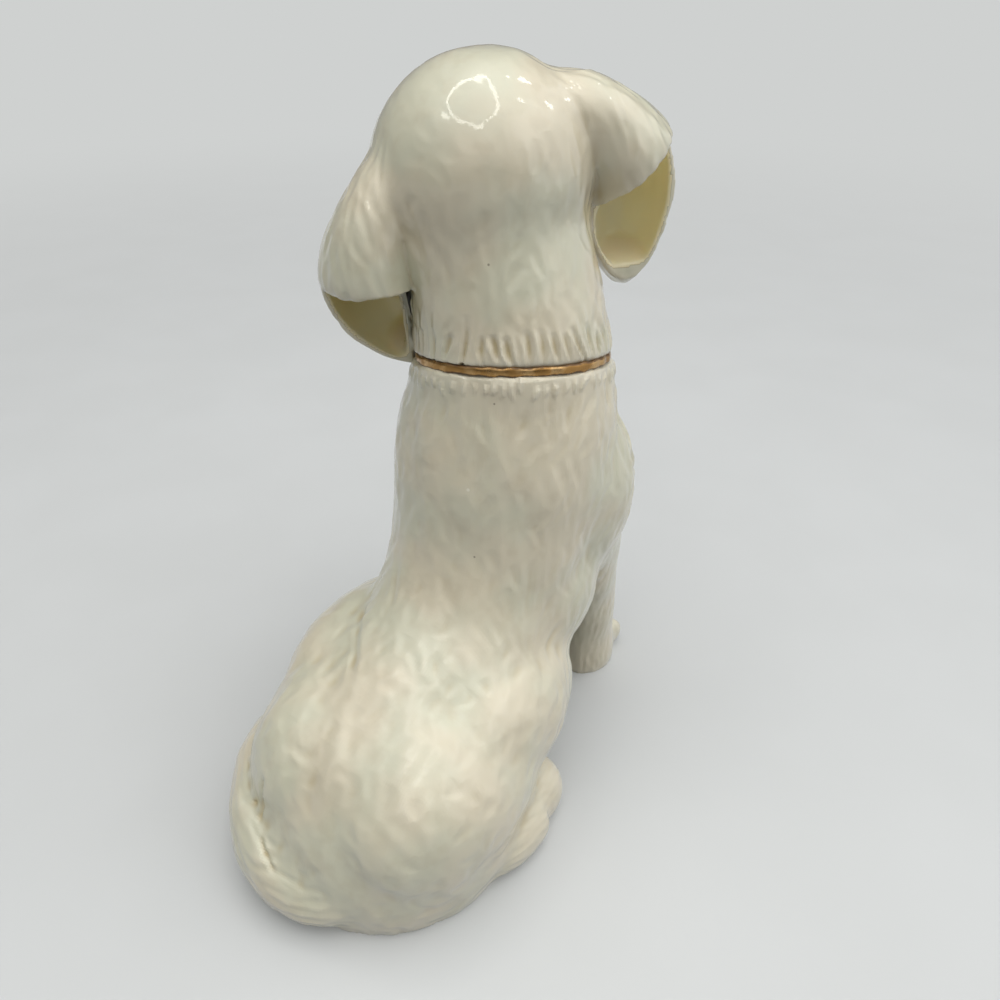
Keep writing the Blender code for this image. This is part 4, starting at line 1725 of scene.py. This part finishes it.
@dataclass(frozen=True)
class GoldCollar:
    """The fired gold band in the neck seam's groove. Sizes in mm."""

    seam: NeckSeam = NeckSeam()
    radius: float = 17.15
    thickness: float = 1.1
    height: float = 1.6
    segments: int = 320
    seed: int = 5

    def build(self) -> Object:
        """The band, uneven as brushed gold is."""
        rng = np.random.default_rng(self.seed)
        inner, outer, half = self.radius, self.radius + self.thickness, self.height / 2
        profile = (
            (inner, -half, 1.0), (outer - 0.3, -half, 1.0), (outer - 0.05, -half * 0.72, 0.8),
            (outer, -half * 0.3, 0.3), (outer, half * 0.3, 0.3), (outer - 0.05, half * 0.72, 0.8),
            (outer - 0.3, half, 1.0), (inner, half, 1.0),
        )
        bm = bmesh.new()
        edge = bm.verts.layers.float.new(BAND)
        verts = []
        for radius, height, share in profile:
            vert = bm.verts.new((radius * MM, 0.0, height * MM))
            vert[edge] = share
            verts.append(vert)
        edges = [bm.edges.new((verts[i - 1], verts[i])) for i in range(len(verts))]
        bmesh.ops.spin(
            bm, geom=edges, cent=(0, 0, 0), axis=(0, 0, 1), angle=math.tau, steps=self.segments,
            use_merge=True,
        )
        waves = [(rng.integers(3, 40), rng.uniform(0, math.tau)) for _ in range(14)]
        for vert in bm.verts:
            angle = math.atan2(vert.co.y, vert.co.x)
            wave = sum(math.sin(count * angle + turn) for count, turn in waves) / 4.0
            lump = sum(math.cos(count * angle - turn) for count, turn in waves) / 4.0
            vert.co.z *= 1.0 + 0.13 * wave
            vert.co.xy *= 1.0 + 0.004 * lump
        place = self.seam.frame() @ Matrix.Translation((0, 0, self.seam.middle * MM))
        bmesh.ops.transform(bm, matrix=place, verts=bm.verts)
        collar = new_object("gold_band", bm)
        collar.data.shade_smooth()
        return collar


# Finishes

# Settings of a range that is mapped smoothly, and of a mix of two colours
SMOOTH = {"interpolation_type": "SMOOTHSTEP"}
COLOURS = {"data_type": "RGBA"}


def add_node(
    tree: bpy.types.NodeTree,
    kind: str,
    settings: dict[str, object] | None = None,
    inputs: dict[str | int, object] | None = None,
) -> bpy.types.Node:
    """Adds a shader node.

    Args:
        tree: The material's or world's node tree.
        kind: The node's type, without the words that all types begin with.
        settings: Values of the node's own properties.
        inputs: What each input gets, by name or number: a value, a socket to link, or a node,
            whose first output in use is linked.

    Returns:
        The node.
    """
    node = tree.nodes.new("ShaderNode" + kind)
    for name, value in (settings or {}).items():
        setattr(node, name, value)
    for name, value in (inputs or {}).items():
        if isinstance(value, bpy.types.Node):
            value = next(socket for socket in value.outputs if socket.enabled)
        if isinstance(value, bpy.types.NodeSocket):
            tree.links.new(value, node.inputs[name])
        else:
            node.inputs[name].default_value = value
    return node


def per_metre(size: float) -> float:
    """A texture's scale, for features of a size in mm."""
    return 1.0 / (size * MM)


def new_material(name: str) -> tuple[bpy.types.Material, bpy.types.NodeTree]:
    """Makes an empty material.

    Args:
        name: The material's name.

    Returns:
        The material and its node tree.
    """
    material = bpy.data.materials.new(name)
    material.use_nodes = True
    material.node_tree.nodes.clear()
    return material, material.node_tree


@dataclass(frozen=True)
class IvoryGlaze:
    """Clear glossy glaze over ivory porcelain. Places and sizes in mm."""

    ivory: str = "#D9D1BB"
    cool: str = "#D2D1BC"
    pooled: str = "#BCAB7E"
    ridge: str = "#E2DCC9"
    mottled: str = "#B9AD93"
    iron: str = "#4A3A28"
    pin_pale: str = "#F4F1E6"
    ear_glow: str = "#EADFBC"
    specks: tuple[Row, ...] = ((-7.3, -21.9, 88.4), (-7.5, -14.8, 60.3), (-3.5, -26.2, 110.3))
    speck_size: float = 0.26
    pin_marks: tuple[Row, ...] = ((-5.3, -16.5, 73.3),)
    pin_size: float = 0.4
    body_depth: float = 1.2
    ear_depth: float = 4.0

    def build(self) -> bpy.types.Material:
        """The material."""
        material, tree = new_material("ivory_glaze")
        place = add_node(tree, "TexCoord").outputs["Object"]
        # Broad drifts of tone, where the body shows warmer or greener through the glaze
        drift = add_node(
            tree, "TexNoise", inputs={"Vector": place, "Scale": per_metre(19), "Detail": 2.0}
        )
        share = add_node(tree, "MapRange", SMOOTH, {0: drift, 1: 0.4, 2: 0.62})
        colour = add_node(tree, "Mix", COLOURS, {0: share, 6: srgb(self.ivory), 7: srgb(self.cool)})
        # Glaze lies thick and yellow in the hollows, and thin and pale on the ridges
        pool = add_node(tree, "Attribute", {"attribute_name": POOL}).outputs["Fac"]
        for low, high, most, tone in ((0.05, 1.0, 0.75, self.pooled), (-0.1, -1.0, 0.6, self.ridge)):
            share = add_node(tree, "MapRange", SMOOTH, {0: pool, 1: low, 2: high, 4: most})
            colour = add_node(tree, "Mix", COLOURS, {0: share, 6: colour, 7: srgb(tone)})
        # Faint mottling a few millimetres across
        mottle = add_node(
            tree, "TexNoise", inputs={"Vector": place, "Scale": per_metre(4.5), "Detail": 3.0}
        )
        share = add_node(tree, "MapRange", SMOOTH, {0: mottle, 1: 0.48, 2: 0.7, 4: 0.2})
        colour = add_node(tree, "Mix", COLOURS, {0: share, 6: colour, 7: srgb(self.mottled)})
        # Specks of iron under the glaze, and one pale pin mark
        dots = [(spot, self.speck_size, self.iron) for spot in self.specks]
        dots += [(spot, self.pin_size, self.pin_pale) for spot in self.pin_marks]
        for spot, size, tone in dots:
            gap = add_node(
                tree, "VectorMath", {"operation": "DISTANCE"}, {0: place, 1: tuple(Vector(spot) * MM)}
            )
            dot = {0: gap.outputs["Value"], 1: size * MM, 2: size * 0.5 * MM, 4: 0.55}
            share = add_node(tree, "MapRange", SMOOTH, dot)
            colour = add_node(tree, "Mix", COLOURS, {0: share, 6: colour, 7: srgb(tone)})
        # Inside the ears the light comes warm through the thin walls: deeper subsurface light, and a
        # painted glow in a paler, warmer colour than the ivory
        inside = add_node(tree, "MapRange", SMOOTH, {0: pool, 1: 1.2, 2: 1.8})
        colour = add_node(tree, "Mix", COLOURS, {0: inside, 6: colour, 7: srgb(self.ear_glow)})
        glow = add_node(tree, "MapRange", SMOOTH, {0: inside, 3: 0.12, 4: 0.9})
        depths = {0: inside, 3: self.body_depth * MM, 4: self.ear_depth * MM}
        deep = add_node(tree, "MapRange", SMOOTH, depths)
        # The glaze's own ripple, too fine to be modelled
        ripple = add_node(
            tree, "TexNoise", inputs={"Vector": place, "Scale": per_metre(2.6), "Detail": 2.0}
        )
        bump = add_node(
            tree, "Bump", inputs={"Strength": 0.5, "Distance": 0.035 * MM, "Height": ripple}
        )
        # A soft body under a hard clear coat, which is duller low down and inside the ears
        rough = add_node(tree, "MapRange", SMOOTH, {0: mottle, 1: 0.3, 2: 0.7, 3: 0.3, 4: 0.42})
        height = add_node(tree, "SeparateXYZ", inputs={0: place}).outputs["Z"]
        satin = add_node(
            tree, "MapRange", SMOOTH, {0: height, 1: 45.0 * MM, 2: 76.0 * MM, 3: 0.2, 4: 0.05}
        )
        dull = add_node(tree, "Mix", {"data_type": "FLOAT"}, {0: inside, 2: satin, 3: 0.35})
        shader = add_node(
            tree, "BsdfPrincipled",
            inputs={
                "Base Color": colour, "Roughness": rough, "Specular IOR Level": 0.3,
                "Subsurface Weight": 0.12, "Subsurface Radius": (1.0, 0.87, 0.68),
                "Subsurface Scale": self.body_depth * MM, "Coat Weight": 1.0,
                "Coat Roughness": 0.1, "Coat IOR": 1.52, "Normal": bump, "Coat Normal": bump,
            },
        )
        for name, varied in (
            ("Subsurface Weight", glow), ("Subsurface Scale", deep), ("Coat Roughness", dull),
        ):
            tree.links.new(next(s for s in varied.outputs if s.enabled), shader.inputs[name])
        add_node(tree, "OutputMaterial", inputs={"Surface": shader})
        return material


@dataclass(frozen=True)
class GroundFoot:
    """Unglazed porcelain, where the foot was ground flat."""

    bisque: str = "#E9E4D8"
    grime: str = "#B9AE98"

    def build(self) -> bpy.types.Material:
        """The material."""
        material, tree = new_material("ground_foot")
        place = add_node(tree, "TexCoord").outputs["Object"]
        # Shelf grime in the pores
        pores = add_node(
            tree, "TexNoise", inputs={"Vector": place, "Scale": per_metre(1.4), "Detail": 5.0}
        )
        patch = add_node(
            tree, "TexNoise", inputs={"Vector": place, "Scale": per_metre(14), "Detail": 2.0}
        )
        fine = add_node(tree, "MapRange", SMOOTH, {0: pores, 1: 0.45, 2: 0.7})
        broad = add_node(tree, "MapRange", SMOOTH, {0: patch, 1: 0.35, 2: 0.7})
        share = add_node(tree, "Math", {"operation": "MULTIPLY"}, {0: fine, 1: broad})
        colour = add_node(tree, "Mix", COLOURS, {0: share, 6: srgb(self.bisque), 7: srgb(self.grime)})
        # Fine scratches from the grinding wheel
        turned = add_node(tree, "Mapping", inputs={"Vector": place, "Scale": (1.0, 14.0, 1.0)})
        lines = add_node(
            tree, "TexNoise", inputs={"Vector": turned, "Scale": per_metre(3.0), "Detail": 4.0}
        )
        bump = add_node(tree, "Bump", inputs={"Strength": 0.6, "Distance": 0.05 * MM, "Height": lines})
        shader = add_node(
            tree, "BsdfPrincipled", inputs={"Base Color": colour, "Roughness": 0.82, "Normal": bump}
        )
        add_node(tree, "OutputMaterial", inputs={"Surface": shader})
        return material


@dataclass(frozen=True)
class FiredGold:
    """Thin brushed gold, fired on, and darker brown towards its edges."""

    gold: str = "#A07A48"
    pale: str = "#C2A070"
    burnt: str = "#6A4D2B"

    def build(self) -> bpy.types.Material:
        """The material."""
        material, tree = new_material("fired_gold")
        place = add_node(tree, "TexCoord").outputs["Object"]
        # Thin and thick places in the brushed gold
        wash = add_node(
            tree, "TexNoise", inputs={"Vector": place, "Scale": per_metre(3.5), "Detail": 3.0}
        )
        share = add_node(tree, "MapRange", SMOOTH, {0: wash, 1: 0.4, 2: 0.65})
        colour = add_node(tree, "Mix", COLOURS, {0: share, 6: srgb(self.gold), 7: srgb(self.pale)})
        # Ragged, darker brown towards the band's edges, where it is also less metallic
        edge = add_node(tree, "Attribute", {"attribute_name": BAND}).outputs["Fac"]
        ragged = add_node(
            tree, "TexNoise", inputs={"Vector": place, "Scale": per_metre(1.6), "Detail": 4.0}
        )
        reach = add_node(tree, "Math", {"operation": "ADD"}, {0: edge, 1: ragged})
        burnt = add_node(tree, "MapRange", SMOOTH, {0: reach, 1: 1.12, 2: 1.45})
        colour = add_node(tree, "Mix", COLOURS, {0: burnt, 6: colour, 7: srgb(self.burnt)})
        metal = add_node(tree, "MapRange", SMOOTH, {0: burnt, 3: 1.0, 4: 0.15})
        rough = add_node(tree, "MapRange", SMOOTH, {0: ragged, 1: 0.3, 2: 0.75, 3: 0.22, 4: 0.45})
        bump = add_node(tree, "Bump", inputs={"Strength": 0.5, "Distance": 0.06 * MM, "Height": ragged})
        shader = add_node(
            tree, "BsdfPrincipled",
            inputs={"Base Color": colour, "Metallic": metal, "Roughness": rough, "Normal": bump},
        )
        add_node(tree, "OutputMaterial", inputs={"Surface": shader})
        return material


@dataclass(frozen=True)
class TableTop:
    """A plain pale table. Distances in metres."""

    colour: str = "#D0D3D5"
    second: str = "#C6C9CA"
    bounce: str = "#707170"
    backdrop: str = "#CFD1D0"
    fade_start: float = 0.2
    fade_end: float = 0.9

    def build(self) -> bpy.types.Material:
        """The material."""
        material, tree = new_material("table_top")
        place = add_node(tree, "TexCoord").outputs["Object"]
        # Barely seen unevenness of the matt surface
        grain = add_node(
            tree, "TexNoise", inputs={"Vector": place, "Scale": per_metre(40), "Detail": 2.0}
        )
        share = add_node(tree, "MapRange", SMOOTH, {0: grain, 1: 0.3, 2: 0.7, 4: 0.2})
        colour = add_node(tree, "Mix", COLOURS, {0: share, 6: srgb(self.colour), 7: srgb(self.second)})
        # Its own grey for the light that it sends back up, and a paler one for the eye
        rays = add_node(tree, "LightPath").outputs
        seen = add_node(
            tree, "Math", {"operation": "MAXIMUM"}, {0: rays["Is Camera Ray"], 1: rays["Is Glossy Ray"]}
        )
        colour = add_node(tree, "Mix", COLOURS, {0: seen, 6: srgb(self.bounce), 7: colour})
        shader = add_node(
            tree, "BsdfPrincipled",
            inputs={"Base Color": colour, "Roughness": 0.38, "Specular IOR Level": 0.35},
        )
        # Far from the puppy the table fades into the backdrop, as plain as a paper sweep
        far = add_node(tree, "VectorMath", {"operation": "LENGTH"}, {0: place}).outputs["Value"]
        away = add_node(tree, "MapRange", SMOOTH, {0: far, 1: self.fade_start, 2: self.fade_end})
        fade = add_node(tree, "Math", {"operation": "MULTIPLY"}, {0: away, 1: seen})
        paper = add_node(tree, "Emission", inputs={"Color": srgb(self.backdrop)})
        sweep = add_node(tree, "MixShader", inputs={0: fade, 1: shader, 2: paper})
        add_node(tree, "OutputMaterial", inputs={"Surface": sweep})
        return material


# Table, light and camera


@dataclass(frozen=True)
class Studio:
    """The table, the soft light and the camera. Places in mm, from the puppy's origin."""

    camera_spot: Row = (-72.8, 77.0, 148.8)
    camera_aim: Row = (0.452, -0.695, -0.559)
    focal_pixels: float = 780.0
    nearest: float = 5.0
    farthest: float = 40000.0
    table_reach: float = 9000.0
    ring_centre: Row = (10.0, 16.0, 292.0)
    ring_inner: float = 77.0
    ring_outer: float = 92.0
    ring_squeeze: float = 0.8
    ring_segments: int = 72
    ring_light: float = 6.5
    bulbs: tuple[Row, ...] = (
        (-126.0, -121.0, 394.0), (-30.0, -206.0, 386.0), (-137.0, -218.0, 348.0),
    )
    bulb_size: float = 24.0
    bulb_watts: float = 0.011
    softbox_spot: Row = (-1257.0, -817.0, 620.0)
    softbox_size: float = 2400.0
    softbox_watts: float = 13.0
    lamps_aim: Row = (0.0, -15.0, 60.0)
    lamp_colour: str = "#FFFDF6"
    sky_colour: str = "#F6F5F2"
    sky_axis: Row = (-0.22, 0.2, 1.0)
    sky_low: float = 0.25
    sky_high: float = 1.8
    room_axis: Row = (-0.45, 0.85, 0.1)
    room_dark: float = 0.65

    def build(self) -> None:
        """Sets everything up."""
        scene = bpy.context.scene
        scene.view_settings.view_transform = "Standard"
        self.table()
        self.ring()
        self.softbox("side_softbox", self.softbox_spot, self.softbox_size, self.softbox_watts)
        for number, spot in enumerate(self.bulbs):
            self.softbox(f"bulb_{number}", spot, self.bulb_size, self.bulb_watts)
        self.world()
        self.camera()

    def table(self) -> None:
        """A plain table top."""
        bm = bmesh.new()
        bmesh.ops.create_grid(bm, x_segments=1, y_segments=1, size=self.table_reach * MM)
        table = new_object("table", bm)
        if table.data.polygons[0].normal.z < 0:
            table.data.flip_normals()
        table.data.materials.append(TableTop().build())

    def ring(self) -> None:
        """The round lamp overhead, which the crown mirrors as a ring."""
        bm = bmesh.new()
        outer = self.ring_outer * MM
        bmesh.ops.create_circle(bm, cap_ends=True, segments=self.ring_segments, radius=outer)
        face = bm.faces[:][0]
        share = 1.0 - self.ring_inner / self.ring_outer
        bmesh.ops.inset_individual(bm, faces=[face], thickness=outer * share)
        bm.faces.ensure_lookup_table()
        middle = max(bm.faces, key=lambda f: len(f.verts))
        bmesh.ops.delete(bm, geom=[middle], context="FACES_ONLY")
        bmesh.ops.scale(bm, vec=(self.ring_squeeze, 1.0, 1.0), verts=bm.verts)
        turn = Matrix.Rotation(math.atan2(-CAMERA_RIGHT[1], -CAMERA_RIGHT[0]), 3, "Z")
        bmesh.ops.rotate(bm, cent=(0, 0, 0), matrix=turn, verts=bm.verts)
        bmesh.ops.translate(bm, vec=Vector(self.ring_centre) * MM, verts=bm.verts)
        lamp = stored("ring_lamp", bm)
        material, tree = new_material("ring_light")
        glow = {"Color": srgb(self.lamp_colour), "Strength": self.ring_light}
        surface = add_node(tree, "Emission", inputs=glow)
        add_node(tree, "OutputMaterial", inputs={"Surface": surface})
        lamp.data.materials.append(material)
        lamp.visible_camera = False

    def softbox(self, name: str, spot: Row, size: float, watts: float) -> None:
        """A square area lamp that faces the puppy.

        Args:
            name: The lamp's name.
            spot: Its place in mm.
            size: Its side in mm.
            watts: Its power.
        """
        light = bpy.data.lights.new(name, "AREA")
        light.shape = "SQUARE"
        light.size = size * MM
        light.energy = watts
        lamp = bpy.data.objects.new(name, light)
        lamp.location = Vector(spot) * MM
        aim = Vector(self.lamps_aim) * MM - lamp.location
        lamp.rotation_euler = aim.to_track_quat("-Z", "Y").to_euler()
        bpy.context.scene.collection.objects.link(lamp)

    def world(self) -> None:
        """Soft light, brightest overhead, and a pale backdrop."""
        world = bpy.data.worlds.new("studio")
        bpy.context.scene.world = world
        world.use_nodes = True
        tree = world.node_tree
        tree.nodes.clear()
        way = add_node(tree, "TexCoord").outputs["Generated"]
        axis = tuple(Vector(self.sky_axis).normalized())
        rise = add_node(tree, "VectorMath", {"operation": "DOT_PRODUCT"}, {0: way, 1: axis})
        sky = {0: rise.outputs["Value"], 1: 0.35, 2: 1.0, 3: self.sky_low, 4: self.sky_high}
        level = add_node(tree, "MapRange", SMOOTH, sky)
        # The dark of the room, on the side from which the puppy is looked at
        axis = tuple(Vector(self.room_axis).normalized())
        behind = add_node(tree, "VectorMath", {"operation": "DOT_PRODUCT"}, {0: way, 1: axis})
        room = {0: behind.outputs["Value"], 1: 0.3, 2: 0.85, 3: 1.0, 4: self.room_dark}
        shade = add_node(tree, "MapRange", SMOOTH, room)
        level = add_node(tree, "Math", {"operation": "MULTIPLY"}, {0: level, 1: shade})
        light = add_node(
            tree, "Background", inputs={"Color": srgb(self.sky_colour), "Strength": level}
        )
        backdrop = add_node(tree, "Background", inputs={"Color": srgb(TableTop().backdrop)})
        rays = add_node(tree, "LightPath").outputs["Is Camera Ray"]
        mix = add_node(tree, "MixShader", inputs={0: rays, 1: light, 2: backdrop})
        add_node(tree, "OutputWorld", inputs={"Surface": mix})

    def camera(self) -> None:
        """The photograph's camera."""
        data = bpy.data.cameras.new("camera")
        data.sensor_width = SENSOR_MM
        data.sensor_fit = "HORIZONTAL"
        data.lens = self.focal_pixels / IMAGE_PIXELS * SENSOR_MM
        data.clip_start = self.nearest * MM
        data.clip_end = self.farthest * MM
        camera = bpy.data.objects.new("camera", data)
        camera.location = Vector(self.camera_spot) * MM
        camera.rotation_euler = Vector(self.camera_aim).to_track_quat("-Z", "Y").to_euler()
        bpy.context.scene.collection.objects.link(camera)
        bpy.context.scene.camera = camera


def dress(obj: Object, node: str, slot: Slot, materials: Sequence[bpy.types.Material]) -> None:
    """Puts a finished piece in its casting's place.

    Args:
        obj: The piece.
        node: The solid casting that it stands for.
        slot: The record's slot of its finish, which only sets the first word of its name.
        materials: Its materials.
    """
    obj.name = f"glazed_{node}" if slot is Slot.GLAZE else f"fired_{node}"
    obj.data.name = obj.name
    obj.data.materials.clear()
    for material in materials:
        obj.data.materials.append(material)
    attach(obj, BODY)
    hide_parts(node)
    obj.data.calc_loop_triangles()
    LOG.info("%s: %d triangles", obj.name, len(obj.data.loop_triangles))


def main() -> None:
    """Builds the puppy's castings, its collar, and the table, light and camera."""
    logging.basicConfig(level=logging.INFO, format="%(message)s", stream=sys.stdout)
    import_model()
    Studio().build()
    glaze, foot = IvoryGlaze().build(), GroundFoot().build()
    for node, piece in GlazedPuppy().build().items():
        dress(piece, node, Slot.GLAZE, (glaze, foot))
    dress(GoldCollar().build(), "gold_collar", Slot.GOLD, (FiredGold().build(),))


if __name__ == "__main__":
    main()
